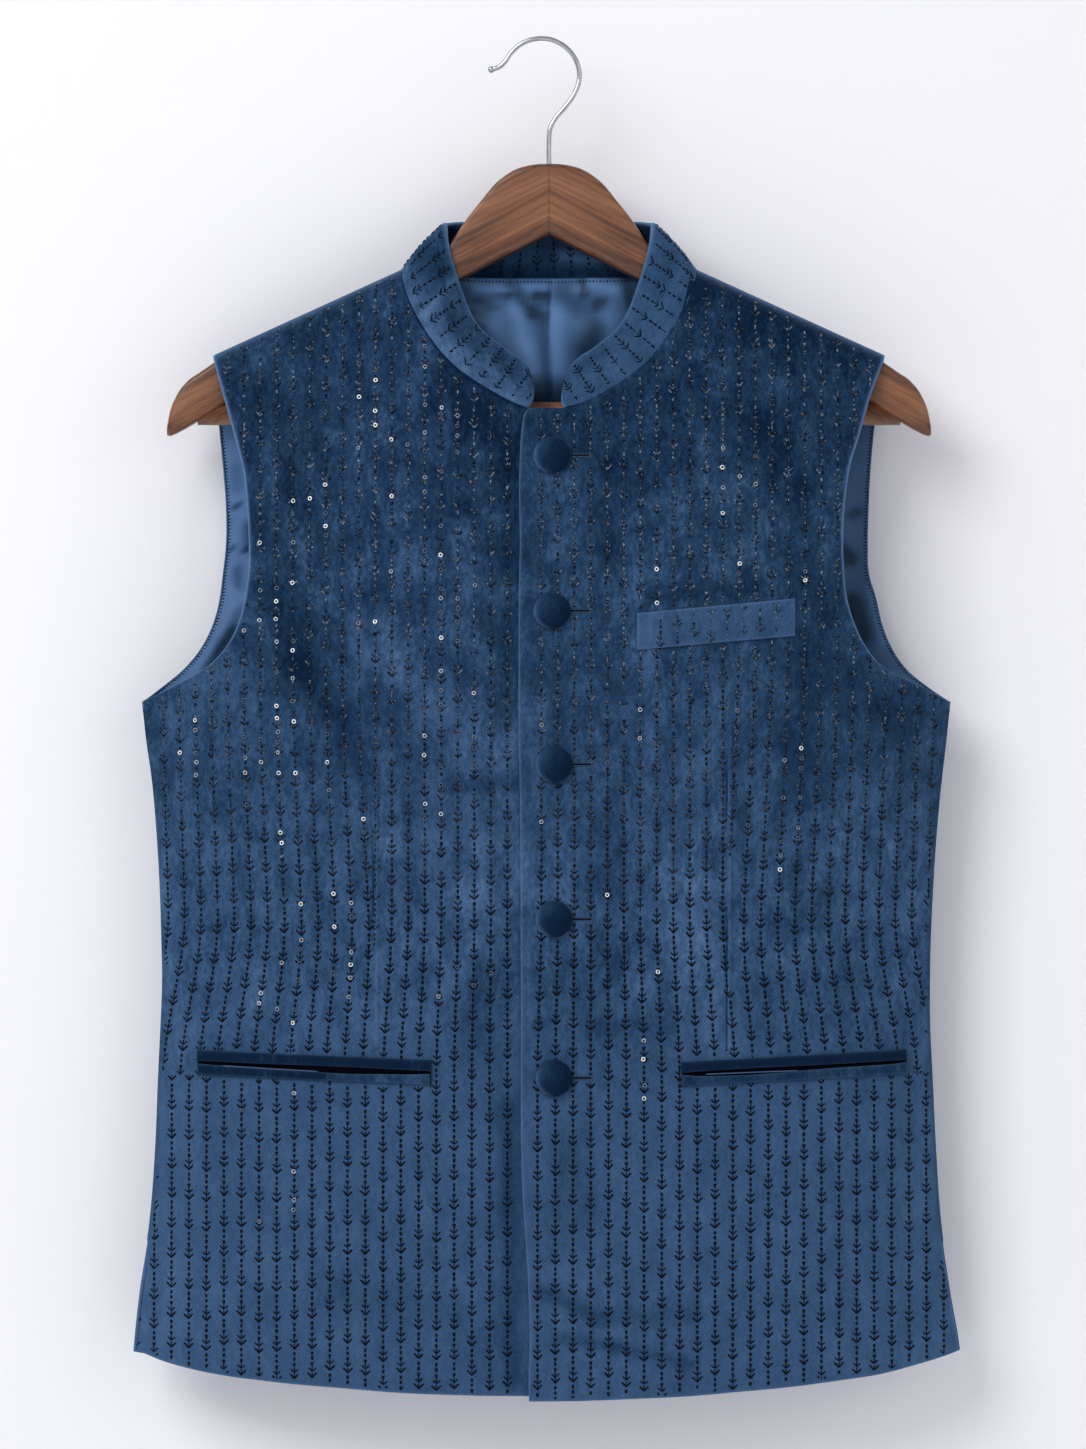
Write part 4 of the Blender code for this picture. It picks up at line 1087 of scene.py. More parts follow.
def sequin_material(name):
    """Small rings, some bright and others dim: their brightness is a painted glint, set for each ring by an
    attribute with noise over it.
    """
    nodes = Nodes(name)
    painted_sequin_glint = nodes.maths("ADD", nodes.attribute("painted_sequin_glint"), nodes.maths("MULTIPLY", nodes.noise(
        nodes.place(), 900.0, 1.0), 0.5))
    colour = nodes.ramp(painted_sequin_glint, ((0.45, (0.075, 0.105, 0.150)), (0.80, (0.40, 0.44, 0.50)),
                                (1.05, (0.98, 0.98, 0.99))))
    nodes.link(colour, nodes.shader.inputs["Base Color"])
    nodes.shader.inputs["Roughness"].default_value = 0.30
    nodes.shader.inputs["Metallic"].default_value = 0.2
    return nodes.material


def wood_material(name):
    """Walnut, matched at the middle joint, with its grain along each arm."""
    nodes = Nodes(name)
    place = nodes.place()
    parts = nodes.add("ShaderNodeSeparateXYZ")
    nodes.link(place, parts.inputs["Vector"])
    away = nodes.maths("SUBTRACT", parts.outputs["X"], CENTRE_X * MM)
    side = nodes.maths("ABSOLUTE", away)
    tilt = math.radians(27.0)
    along = nodes.maths("SUBTRACT", nodes.maths("MULTIPLY", side, math.cos(tilt)),
                        nodes.maths("MULTIPLY", parts.outputs["Z"], math.sin(tilt)))
    over = nodes.maths("ADD", nodes.maths("MULTIPLY", side, math.sin(tilt)),
                       nodes.maths("MULTIPLY", parts.outputs["Z"], math.cos(tilt)))
    joined = nodes.add("ShaderNodeCombineXYZ")
    nodes.link(nodes.maths("MULTIPLY", along, 0.045), joined.inputs["X"])
    nodes.link(over, joined.inputs["Z"])
    nodes.link(nodes.maths("MULTIPLY", parts.outputs["Y"], 0.6), joined.inputs["Y"])
    grain_place = joined.outputs["Vector"]
    figure = nodes.noise(grain_place, 95.0, 3.0, 0.55)
    streaks = nodes.noise(grain_place, 620.0, 4.0, 0.65)
    pores = nodes.noise(nodes.scaled(grain_place, (0.5, 1.0, 1.0)), 2600.0, 2.0)
    mixed = nodes.maths("ADD", nodes.maths("MULTIPLY", figure, 0.62), nodes.maths("MULTIPLY", streaks, 0.38))
    colour = nodes.ramp(mixed, (
        (0.40, (0.052, 0.018, 0.007)),
        (0.46, (0.116, 0.042, 0.017)),
        (0.53, (0.186, 0.072, 0.030)),
        (0.61, (0.258, 0.108, 0.048)),
    ))
    colour = nodes.mix(nodes.maths("MULTIPLY", pores, 0.22), colour, (0.06, 0.025, 0.014))
    joint = nodes.maths("LESS_THAN", side, 0.00035)
    colour = nodes.mix(nodes.maths("MULTIPLY", joint, 0.55), colour, (0.03, 0.014, 0.009))
    nodes.link(colour, nodes.shader.inputs["Base Color"])
    nodes.shader.inputs["Roughness"].default_value = 0.42
    nodes.shader.inputs["Specular IOR Level"].default_value = 0.35
    nodes.shader.inputs["Coat Weight"].default_value = 0.20
    nodes.shader.inputs["Coat Roughness"].default_value = 0.25
    nodes.link(nodes.bump(streaks, 0.12, 0.0003), nodes.shader.inputs["Normal"])
    return nodes.material


VELVET = velvet_material("velvet")
SATIN = satin_material("satin")
THREAD = thread_material("thread", -0.56, -0.30)
DARK_THREAD = thread_material("dark_thread", -0.14, 0.10)
HOLE_THREAD = plain_material("buttonhole_thread", (0.028, 0.066, 0.140), 0.75, 0.0, 1800.0, 0.4)
SEQUIN = sequin_material("sequin")
# Painted shade: a near-black strip that stands for the shaded depth of pocket slits and buttonholes.
SLIT_SHADE = plain_material("pocket_slit_shade", (0.0016, 0.0014, 0.0040), 0.95)
SLIT_SHADE.node_tree.nodes["Principled BSDF"].inputs["Specular IOR Level"].default_value = 0.02
# Painted highlight: a light-blue cord along a pocket's lower lip, standing for light caught on its edge.
LIP_HIGHLIGHT = plain_material("pocket_edge", (0.036, 0.082, 0.185), 0.7)
WOOD = wood_material("walnut")
STEEL = plain_material("steel", (0.50, 0.51, 0.54), 0.24, 1.0, 300.0, 0.04)


# Velvet panels.

def tone_of(u, drop):
    """Tone over the jacket: darkest at the top, lighter lower down and towards the side seams, a little
    darker at the top where u is positive.
    """
    chest = smooth_step((drop - 220.0) / 90.0)
    waist = smooth_step((drop - 380.0) / 140.0)
    skirt = smooth_step((drop - 600.0) / 50.0)
    right = smooth_step((u - 20.0) / 130.0)
    sides = smooth_step((np.abs(u) - 190.0) / 50.0)
    tone = -0.12 + 0.13 * chest + 0.16 * waist + 0.055 * skirt
    return tone - 0.05 * right * (1.0 - chest) + 0.03 * right * chest * (1.0 - waist) + 0.06 * sides * waist


# Painted light and shade on each front, with lighter and darker nap: shadows beside the lap edge and above
# the chest welt, darker creases and lighter patches. Each row is a line from one end to the other, its width
# and strength.
RIGHT_PAINTED_SHADE_AND_NAP_ROWS = (
    (-57.9, 210.7, -21.7, 247.0, 13.0, -0.28),
    (-24.4, 238.0, -24.4, 400.0, 6.0, -0.16),
    (-48.9, 283.0, -44.0, 300.0, 12.0, -0.10),
    (-130.0, 229.0, -112.0, 274.0, 20.0, 0.06),
    (-112.0, 360.0, -31.0, 428.0, 16.0, 0.22),
    (-162.0, 328.0, -148.0, 373.0, 11.0, -0.24),
    (-148.0, 373.0, -116.0, 428.0, 11.0, -0.22),
    (-221.0, 410.0, -193.0, 373.0, 14.0, 0.12),
    (-57.9, 446.0, -21.7, 446.0, 6.0, -0.20),
    (-94.0, 482.0, -31.0, 482.0, 14.0, 0.07),
    (-28.0, 554.0, -44.0, 588.0, 10.0, -0.15),
    (-166.0, 570.0, -70.0, 590.0, 22.0, 0.06),
    (-40.0, 606.0, -30.0, 640.0, 12.0, -0.05),
    (-24.0, 640.0, -21.7, 800.0, 7.0, -0.24),
    (-122.0, 745.0, -31.0, 775.0, 14.0, -0.08),
)
LEFT_PAINTED_SHADE_AND_NAP_ROWS = (
    (96.0, 150.0, 185.0, 192.0, 22.0, -0.20),
    (23.5, 247.0, 50.7, 262.0, 12.0, -0.16),
    (32.6, 262.0, 32.6, 301.0, 10.0, -0.20),
    (68.0, 262.0, 106.0, 262.0, 18.0, 0.05),
    (123.0, 220.0, 150.0, 292.0, 13.0, -0.18),
    (60.0, 334.0, 128.0, 329.0, 5.0, -0.26),
    (59.8, 368.0, 59.8, 382.0, 5.0, 0.20),
    (164.0, 337.0, 150.0, 446.0, 13.0, -0.18),
    (177.0, 373.0, 204.0, 410.0, 10.0, -0.18),
    (105.0, 383.0, 123.0, 410.0, 12.0, 0.10),
    (123.0, 410.0, 141.0, 428.0, 10.0, -0.14),
    (177.0, 482.0, 213.0, 518.0, 16.0, 0.06),
    (86.0, 520.0, 100.0, 600.0, 16.0, 0.12),
    (32.6, 482.0, 32.6, 554.0, 14.0, -0.12),
    (32.0, 590.0, 68.0, 590.0, 7.0, -0.14),
    (10.0, 663.0, 16.0, 699.0, 13.0, -0.12),
    (-3.6, 748.0, 34.0, 766.0, 4.5, -0.22),
    (5.0, 776.0, 40.0, 782.0, 4.0, -0.20),
    (40.0, 782.0, 86.0, 792.0, 4.0, -0.18),
    (36.0, 763.0, 84.0, 764.0, 6.0, -0.10),
)


def painted_shade_and_nap_of(u, drop, side):
    """The painted light and shade, and the lighter and darker nap, of one front."""
    return fold_height(RIGHT_PAINTED_SHADE_AND_NAP_ROWS if side < 0 else LEFT_PAINTED_SHADE_AND_NAP_ROWS, u, drop)


def cloud_of(u, drop):
    """How patchy the nap is: strongly on the chest, little on the skirt."""
    chest = 1.0 - smooth_step((drop - 300.0) / 140.0)
    return 1.0 + 0.35 * chest - 0.55 * smooth_step((drop - 540.0) / 100.0) + 0.0 * u


def painted_edge_value(distance, width=0.75):
    """Strength of a painted highlight along an edge, or of a painted shadow beside a seam, by distance from
    it.
    """
    return np.exp(-(distance / width) ** 2)


PANEL_STEP = 3.2
BACK_STEP = 4.0
LINING_STEP = 3.2


def edge_distance(shares, length, reverse=False):
    """Distance of each share from the start, or from the end, of a length."""
    held = 1.0 - shares if reverse else shares
    return held * length


def build_front(side, name):
    """One velvet front on the form of its solid."""
    if side < 0:
        height = under_y
        places, across, upward = front_places(side, UNDER_EDGE, UNDER_TOP, UNDER_HEM, PANEL_STEP)
    else:
        height = lapping_y
        places, across, upward = front_places(side, LAP_EDGE, LAP_TOP, LAP_HEM, PANEL_STEP)
    outer = surface_points(height, places)
    step = inward_normals(height, places, -1.0) * WALL
    lower = upward <= LOWER_SHARE + 1e-9
    step[lower, -1] = (-side * SIDE_MITRE, 0.0, 0.0)
    on_neck = (across <= NECK_SHARE + 1e-9) & (places[-1, :, 0] * side >= 13.4)
    on_shoulder = across > NECK_SHARE
    seam, _, _, mitre, neck_index = collar_lines(side)
    step[-1, on_neck] = mitre_at(outer[-1, on_neck], seam[:neck_index + 1], mitre[:neck_index + 1]) * WALL
    step[-1, on_shoulder] = np.array([-side * math.sin(SHOULDER_TILT), 0.0, -math.cos(SHOULDER_TILT)]) * WALL
    inner = outer + step
    free_edge = edge_distance(across, COLUMN_LENGTH)[None, :] + 0.0 * upward[:, None]
    free_hem = edge_distance(upward, ROW_LENGTH)[:, None] + 0.0 * across[None, :]
    arm = edge_distance(across, COLUMN_LENGTH, True)[None, :] + 0.0 * upward[:, None]
    arm_distance = arm
    arm = np.where(lower[:, None], np.where(places[..., 1] > VENT_TOP + 8.0, arm, 99.0), arm)
    top_free = edge_distance(upward, ROW_LENGTH, True)[:, None] + 0.0 * across[None, :]
    top_free = np.where((places[-1, :, 0] * side < 13.4)[None, :], top_free, 99.0)
    distance = np.minimum(np.minimum(free_edge, free_hem), np.minimum(arm, top_free))
    outer, inner = rounded(outer, inner, distance)
    seam_mask = np.zeros(outer.shape[:2], dtype=bool)
    seam_mask[lower, -1] = True
    seam_mask[-1, on_shoulder] = True
    outer[seam_mask, 1] -= SEAM_GAP
    inner[seam_mask, 1] -= SEAM_GAP
    # Painted sheen by the attribute rim: light along the free edges, the armholes and a strip along the
    # shoulders.
    armhole = np.where(places[..., 1] < 400.0, arm_distance, 99.0)
    shoulder = np.where(on_shoulder[None, :], edge_distance(upward, ROW_LENGTH, True)[:, None], 99.0)
    collar_shadow_distance = np.where(on_neck[None, :], edge_distance(upward, ROW_LENGTH, True)[:, None], 99.0)
    rim = 0.34 * painted_edge_value(distance) + 0.66 * painted_edge_value(armhole, 1.5) + 0.30 * painted_edge_value(shoulder, 2.4)
    # Painted shadow: the tone darkens just below the collar's seam.
    tone = tone_of(places[..., 0], places[..., 1]) - 0.42 * painted_edge_value(collar_shadow_distance, 2.4)
    tone = tone + painted_shade_and_nap_of(places[..., 0], places[..., 1], side)
    cloud = cloud_of(places[..., 0], places[..., 1])
    values = {"rim": np.clip(rim, 0.0, 0.85), "tone": tone, "cloud": cloud}
    item = sheet_object(name, outer, inner, [VELVET, SATIN], values, flip=side < 0)
    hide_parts("front_right" if side < 0 else "front_left")
    return item


def build_back():
    """The velvet back."""
    places, across, upward, joints = back_places(BACK_STEP)
    outer = surface_points(back_y, places)
    step = inward_normals(back_y, places, 1.0) * WALL
    lower = upward <= LOWER_SHARE + 1e-9
    step[lower, 0] = (SIDE_MITRE, 0.0, 0.0)
    step[lower, -1] = (-SIDE_MITRE, 0.0, 0.0)
    left = across <= joints[0] - 1e-9
    right = across >= joints[1] + 1e-9
    step[-1, left] = np.array([math.sin(SHOULDER_TILT), 0.0, -math.cos(SHOULDER_TILT)]) * WALL
    step[-1, right] = np.array([-math.sin(SHOULDER_TILT), 0.0, -math.cos(SHOULDER_TILT)]) * WALL
    neck = ~(left | right)
    seam_l, _, _, mitre_l, index = collar_lines(-1)
    seam_r, _, _, mitre_r, _ = collar_lines(1)
    seam = np.concatenate([seam_l[index:], seam_r[index:]])
    mitre = np.concatenate([mitre_l[index:], mitre_r[index:]])
    step[-1, neck] = mitre_at(outer[-1, neck], seam, mitre) * WALL
    inner = outer + step
    hem = edge_distance(upward, ROW_LENGTH)[:, None] + 0.0 * across[None, :]
    sides = edge_distance(np.minimum(across, 1.0 - across), 2 * COLUMN_LENGTH)
    sides = np.where(lower[:, None] & (places[..., 1] < VENT_TOP + 8.0), 99.0, sides[None, :])
    distance = np.minimum(hem, sides)
    outer, inner = rounded(outer, inner, distance)
    mask = np.zeros(outer.shape[:2], dtype=bool)
    mask[lower, 0] = True
    mask[lower, -1] = True
    mask[-1, left] = True
    mask[-1, right] = True
    outer[mask, 1] += SEAM_GAP
    inner[mask, 1] += SEAM_GAP
    # Painted sheen along the hem and the side edges, by the attribute rim.
    values = {
        "rim": 0.5 * painted_edge_value(distance),
        "tone": tone_of(places[..., 0], places[..., 1]),
        "cloud": cloud_of(places[..., 0], places[..., 1]),
    }
    item = sheet_object("velvet_back", outer, inner, [VELVET], values, flip=True)
    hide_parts("back")
    return item


def lining_wrinkles(u, drop):
    """The satin's pressed pleat down the middle and its pulls below the neck."""
    pleat = 1.6 * smooth_step((u + 1.0) / 2.0) * np.exp(-np.maximum(u, 0.0) / 30.0)
    pulls = np.zeros(np.broadcast(u, drop).shape)
    rows = (
        (-86.0, 152.0, -34.0, 170.0, 5.0, 2.0),
        (-52.0, 150.0, -14.0, 178.0, 5.0, -1.8),
        (-24.0, 146.0, -8.0, 166.0, 4.0, 1.6),
        (40.0, 150.0, 52.0, 166.0, 4.5, 2.0),
        (66.0, 150.0, 84.0, 158.0, 5.0, -1.8),
        (20.0, 150.0, 34.0, 156.0, 4.0, 1.2),
        (-80.0, 170.0, -50.0, 210.0, 9.0, 1.2),
        (60.0, 172.0, 36.0, 214.0, 9.0, -1.0),
    )
    for u_start, drop_start, u_end, drop_end, width, height in rows:
        away = segment_distance(u, drop, u_start, drop_start, u_end, drop_end)
        pulls = pulls + height * np.exp(-(away / width) ** 2)
    soft = 1.3 * lattice_noise(u + 500.0, drop * 0.45, 26.0, 31)
    soft = soft + 0.5 * lattice_noise(u * 0.7 + drop * 0.5 + 600.0, drop * 0.4, 13.0, 32)
    return (pleat + pulls * 0.8 + soft * 0.8) * smooth_step((drop - 142.0) / 9.0)


LINING_EDGE = 1.9
LINING_SEAM_INSET = 4.4
NECK_OVERLAP = 0.7
# Painted light and shade of the satin, on and between its folds: a line from one end to the other, its width
# and its strength.
SATIN_LIGHT_AND_SHADE_ROWS = (
    (-7.6, 151.4, -2.4, 152.4, 2.6, -0.50),
    (28.8, 157.2, 32.4, 156.4, 2.9, -0.50),
    (-23.4, 145.5, -9.8, 162.2, 3.6, -0.30),
    (-10.0, 162.0, -3.0, 164.0, 3.4, -0.26),
    (-44.0, 147.0, -22.0, 147.6, 3.0, 0.22),
    (-14.0, 146.6, -3.0, 146.8, 2.6, 0.22),
    (-52.0, 156.0, -24.0, 151.4, 2.0, -0.24),
    (-48.0, 162.0, -26.0, 156.8, 2.2, -0.16),
    (-62.0, 150.0, -44.0, 190.0, 7.0, -0.30),
    (-20.0, 160.0, -10.0, 196.0, 6.5, 0.26),
    (-30.0, 158.0, -34.0, 176.0, 6.0, 0.10),
    (-3.5, 168.0, -2.0, 205.0, 3.0, -0.14),
    (3.0, 160.0, 6.0, 196.0, 6.0, 0.20),
    (8.0, 150.0, 16.0, 158.0, 6.0, -0.16),
    (20.0, 142.0, 22.0, 152.0, 1.8, -0.34),
    (26.0, 145.0, 42.0, 148.0, 4.0, 0.24),
    (24.0, 152.8, 42.0, 152.8, 0.9, -0.22),
    (46.0, 142.0, 50.0, 158.0, 3.4, -0.36),
    (21.0, 184.0, 29.0, 172.0, 6.5, -0.25),
    (34.0, 160.0, 38.0, 176.0, 6.5, 0.26),
    (12.0, 164.0, 20.0, 168.0, 7.0, 0.12),
    (-191.5, 278.4, -184.6, 278.4, 1.3, -0.45),
    (-191.5, 304.2, -182.8, 304.2, 1.3, -0.36),
    (-193.2, 289.0, -189.0, 287.0, 1.2, -0.26),
    (-188.0, 256.0, -188.0, 266.0, 5.0, -0.18),
    (-181.0, 290.0, -181.0, 303.0, 4.0, -0.36),
    (-188.0, 317.0, -188.0, 328.0, 3.0, -0.26),
    (-190.0, 330.7, -199.5, 353.8, 5.0, 0.16),
    (-190.8, 353.0, -206.0, 376.0, 3.0, -0.50),
    (-188.6, 343.0, -197.0, 364.0, 5.4, -0.22),
    (-205.0, 362.9, -217.9, 377.8, 3.0, 0.16),
    (182.4, 283.5, 187.0, 282.0, 3.0, -0.32),
    (176.6, 305.5, 182.4, 310.0, 4.0, -0.50),
    (183.6, 336.6, 189.3, 356.0, 6.0, -0.50),
    (196.0, 330.0, 203.0, 359.0, 4.0, 0.16),
)


def satin_light_and_shade(u, drop):
    """Painted light and shade of the satin: lighter on its folds and towards the armholes, darker between
    the folds and low in the middle, with a sharp seam down its middle.
    """
    painted_light_and_shade = 1.5 * fold_height(SATIN_LIGHT_AND_SHADE_ROWS, u, drop) - 0.05
    seam_u = -0.7 + 1.7 * (drop - 142.0) / 73.0
    beside = u - seam_u
    painted_light_and_shade = painted_light_and_shade + 0.12 * smooth_step(beside / 0.8) * np.exp(-np.maximum(beside, 0.0) / 14.0)
    painted_light_and_shade = painted_light_and_shade - 0.22 * np.exp(-(beside / 0.8) ** 2)
    middle = smooth_step((96.0 - np.abs(u)) / 20.0)
    painted_light_and_shade = painted_light_and_shade - middle * 0.55 * smooth_step((drop - 196.0) / 22.0)
    sides = 0.49 - 0.40 * smooth_step((u + 60.0) / 120.0)
    return painted_light_and_shade + sides * (1.0 - middle)


def lining_lift(u, drop):
    """Height of the satin above the outside of the back: none at its edges."""
    room = smooth_step((armhole_gap(u, drop, BACK_ARMHOLE_ROWS) - 2.0) / 26.0)
    below_shoulder = drop - NECK_POINT[1] - (np.abs(u) - NECK_POINT[0]) * SHOULDER_FALL
    room = room * smooth_step((below_shoulder - 14.0) / 16.0)
    return LINING_GAP + (lining_wrinkles(u, drop) + 1.8) * room


def build_lining():
    """The satin inside the back, from just inside the velvet's edges."""
    places, across, upward, joints = back_places(LINING_STEP)
    places_across = across
    keep_rows = upward > 0.045
    inset = LINING_EDGE / (2 * COLUMN_LENGTH)
    kept = across[(across > inset) & (across < 1.0 - inset)]
    across = np.unique(np.concatenate([[inset, 1.0 - inset], kept]))
    places = places[keep_rows]
    columns = np.interp(across, places_across, np.arange(len(places_across)))
    low = np.minimum(np.floor(columns).astype(int), len(places_across) - 2)
    part = (columns - low)[None, :, None]
    places = places[:, low] * (1.0 - part) + places[:, low + 1] * part
    # Below the armholes it stays clear of the turned-in side seams.
    narrower = LINING_SEAM_INSET * smooth_step((places[..., 1] - ARMPIT_DROP + 14.0) / 26.0)
    narrower = narrower / half_width(places[..., 0], places[..., 1])
    places[..., 0] *= 1.0 - narrower
    base = surface_points(back_y, places)
    normals = inward_normals(back_y, places, 1.0)
    outer = base + normals * lining_lift(places[..., 0], places[..., 1])[..., None]
    inner = outer + normals * LINING_WALL
    # Its neck edge laps over the collar's seam, so that no light comes through there.
    neck = np.abs(places[-1, :, 0]) < NECK_POINT[0] - 4.0
    outer[-1, neck, 2] += NECK_OVERLAP
    inner[-1, neck, 2] += NECK_OVERLAP
    # Painted light and shade of the satin, as a value for its material.
    values = {"painted_light_and_shade": satin_light_and_shade(places[..., 0], places[..., 1])}
    item = sheet_object("satin_back_lining", outer, inner, [SATIN], values, flip=True)
    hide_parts("back_lining")
    return item


COLLAR_STATIONS = 150
# Painted light and shade of the collar's outside, and of its inside, which shows behind the neck: lit bands,
# highlights and shaded places.
COLLAR_LIGHT_AND_SHADE_ROWS = (
    (-80.0, 124.0, -66.0, 138.0, 8.0, -0.24),
    (-57.0, 143.0, -75.0, 166.0, 2.4, 0.26),
    (-61.0, 162.0, -54.0, 174.0, 4.5, -0.20),
    (-46.0, 181.0, -40.0, 189.0, 3.5, -0.14),
    (-30.0, 193.0, -25.0, 200.0, 4.0, -0.12),
    (-70.0, 178.0, -50.0, 200.0, 4.5, 0.10),
    (-40.0, 206.0, -20.0, 219.0, 4.0, 0.08),
    (20.0, 198.0, 36.0, 186.0, 3.0, -0.10),
    (66.0, 150.0, 74.0, 132.0, 5.0, -0.10),
)
COLLAR_INSIDE_LIGHT_AND_SHADE_ROWS = (
    (-60.0, 138.5, 60.0, 138.5, 2.6, -0.22),
    (-70.0, 122.0, -34.0, 132.0, 12.0, -0.16),
    (6.0, 128.0, 44.0, 131.0, 4.0, 0.42),
    (-26.0, 129.0, -6.0, 129.0, 3.0, 0.16),
)
COLLAR_RISE_SHARES = (0.0, 0.02, 0.06, 0.14, 0.24, 0.34, 0.44, 0.54, 0.64, 0.74, 0.84, 0.92, 0.965,
                      0.985, 1.0)


def collar_half(side, shares):
    """Smooth seam, top, inward direction and mitre along one half of the collar."""
    seam, top, band, mitre, _ = collar_lines(side)
    steps = np.linalg.norm(np.diff(seam, axis=0), axis=1) + np.linalg.norm(np.diff(top, axis=0), axis=1)
    lengths = np.concatenate([[0.0], np.cumsum(steps)]) / steps.sum()
    lines = []
    for table in (seam, top, band, mitre):
        lines.append(np.stack([hermite(lengths, table[:, i], shares) for i in range(3)], axis=-1))
    lines[2] = unit(lines[2])
    return lines


def build_collar():
    """The band collar from one rounded front end to the other."""
    half = np.concatenate([[0.0, 0.004, 0.010, 0.020], np.linspace(0.034, 1.0, COLLAR_STATIONS // 2)])
    outer_halves = []
    inner_halves = []
    rise_shares = np.array(COLLAR_RISE_SHARES)
    for side in (-1, 1):
        seam, top, band, mitre = collar_half(side, half)
        rise = top - seam
        lift = unit(rise) * COLLAR_RAISE
        length = np.linalg.norm(rise, axis=-1)
        end_shares = column(COLLAR_END_ROWS, COLLAR_END_COLUMNS, "share")
        end_reach = column(COLLAR_END_ROWS, COLLAR_END_COLUMNS, "left" if side < 0 else "right")
        fade = np.exp(-(half * 240.0 / COLLAR_END_LENGTH) ** 2)
        outer = []
        inner = []
        for share in rise_shares:
            middle = seam + lift + (rise - lift) * share - band * (COLLAR_BULGE * math.sin(math.pi * share))
            turn = smooth_step(share * 2.5)
            wall = COLLAR_WALL + COLLAR_ROLL * smooth_step(share * 3.0 - 2.0)
            away = (mitre * (1.0 - turn) + band * turn) * wall
            reach = float(hermite(end_shares, end_reach, share))
            middle = middle + np.array([-side * reach, -0.9 * reach / 5.0, 0.0]) * fade[:, None]
            outer.append(middle)
            inner.append(middle + away)
        outer = np.array(outer)
        inner = np.array(inner)
        from_top = (1.0 - rise_shares)[:, None] * length[None, :]
        from_end = np.broadcast_to((half * 240.0)[None, :], from_top.shape)
        distance = np.minimum(from_top, from_end)
        outer, inner = rounded(outer, inner, distance, 1.6)
        outer_halves.append((outer, distance))
        inner_halves.append(inner)
    outer = np.concatenate([outer_halves[0][0], outer_halves[1][0][:, ::-1][:, 1:]], axis=1)
    inner = np.concatenate([inner_halves[0], inner_halves[1][:, ::-1][:, 1:]], axis=1)
    distance = np.concatenate([outer_halves[0][1], outer_halves[1][1][:, ::-1][:, 1:]], axis=1)
    right_half = smooth_step((outer[..., 0] + 30.0) / 60.0)
    height_share = np.broadcast_to(rise_shares[:, None], distance.shape)
    # Painted light and shade: sheen by the attribute rim along the top and the ends, and a tone darker
    # towards the top where u is negative.
    values = {
        "rim": 0.62 * painted_edge_value(distance, 1.3),
        "tone": 0.17 - 0.03 * right_half + (0.10 - 0.22 * height_share) * (1.0 - right_half)
        + fold_height(COLLAR_LIGHT_AND_SHADE_ROWS, outer[..., 0], -outer[..., 2]),
        "cloud": 0.85 - 0.35 * right_half,
    }
    # Painted shade: the inside, seen behind the neck, is darker.
    inside = {"tone": fold_height(COLLAR_INSIDE_LIGHT_AND_SHADE_ROWS, inner[..., 0], -inner[..., 2]) - 0.14}
    item = sheet_object("velvet_collar", outer, inner, [VELVET], values, inside=inside)
    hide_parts("collar")
    return item, outer, inner


# Pockets, buttons and their stitches.

def strip_places(row, columns, rows_down):
    """A grid of places over a strip given by its corners."""
    name, left_u, left_top, left_low, right_u, right_top, right_low = row
    length = right_u - left_u
    across = spread(length, length / columns, EDGE_STEPS[:4], EDGE_STEPS[:4])
    height = left_low - left_top
    down = spread(height, height / rows_down, EDGE_STEPS[:4], EDGE_STEPS[:4])
    top = left_top + (right_top - left_top) * across
    low = left_low + (right_low - left_low) * across
    u = np.broadcast_to(left_u + length * across, (len(down), len(across)))
    drop = top[None, :] + (low - top)[None, :] * down[:, None]
    edge_u = np.minimum(across, 1.0 - across) * length
    edge_drop = np.minimum(down, 1.0 - down) * height
    distance = np.minimum(edge_u[None, :], edge_drop[:, None])
    return np.stack([u, drop], axis=-1), distance, down, across


def build_darts():
    """The sewn ridge of each dart: a low crest with a painted highlight along the fold and painted shade
    along one side.
    """
    for name, (dart_u, drop_start, drop_end) in zip(("dart_right", "dart_left"), DART_ROWS):
        height = under_y if dart_u < 0.0 else lapping_y
        run = np.linspace(drop_start, drop_end - 1.0, 60)
        across = np.array([-1.6, -1.0, -0.5, -0.15, 0.15, 0.5, 1.1, 2.0, 3.2])
        crest = np.array([0.02, 0.08, 0.12, 0.10, 0.20, 0.24, 0.18, 0.10, 0.02])
        # The values light and dark are painted highlight and painted shade across the fold.
        light = np.array([0.0, 0.0, 0.0, 0.0, 0.01, 0.03, 0.02, 0.0, 0.0])
        dark = np.array([-0.02, -0.12, -0.40, -0.45, 0.02, 0.05, 0.04, 0.02, 0.0])
        fade = smooth_step((run - drop_start) / 30.0)[:, None]
        places = np.stack(np.broadcast_arrays(dart_u + across[None, :], run[:, None]), axis=-1)
        normals = inward_normals(height, places, -1.0)
        base = surface_points(height, places)
        outer = base - normals * (0.04 + crest[None, :] * (0.3 + 0.7 * fade))[..., None]
        inner = base + normals * 0.2
        values = {
            "rim": light[None, :] * fade,
            "tone": tone_of(places[..., 0], places[..., 1]) + dark[None, :] * fade
            + painted_shade_and_nap_of(places[..., 0], places[..., 1], -1 if dart_u < 0.0 else 1),
            "cloud": cloud_of(places[..., 0], places[..., 1]),
        }
        item = sheet_object(name, outer, inner, [VELVET], values, flip=False)


WELT_TONES = {"welt": 0.18, "upper": -0.48, "lower": -0.08}
# How far each lip of a hip pocket draws back from the slit, and the share of the slit where it does
# so most.
GAPE = {"welt": 0.0, "upper": -0.4, "lower": 2.0}
GAPE_SHARES = {"right": 0.60, "left": 0.30}
GAPE_WIDTH = 0.24


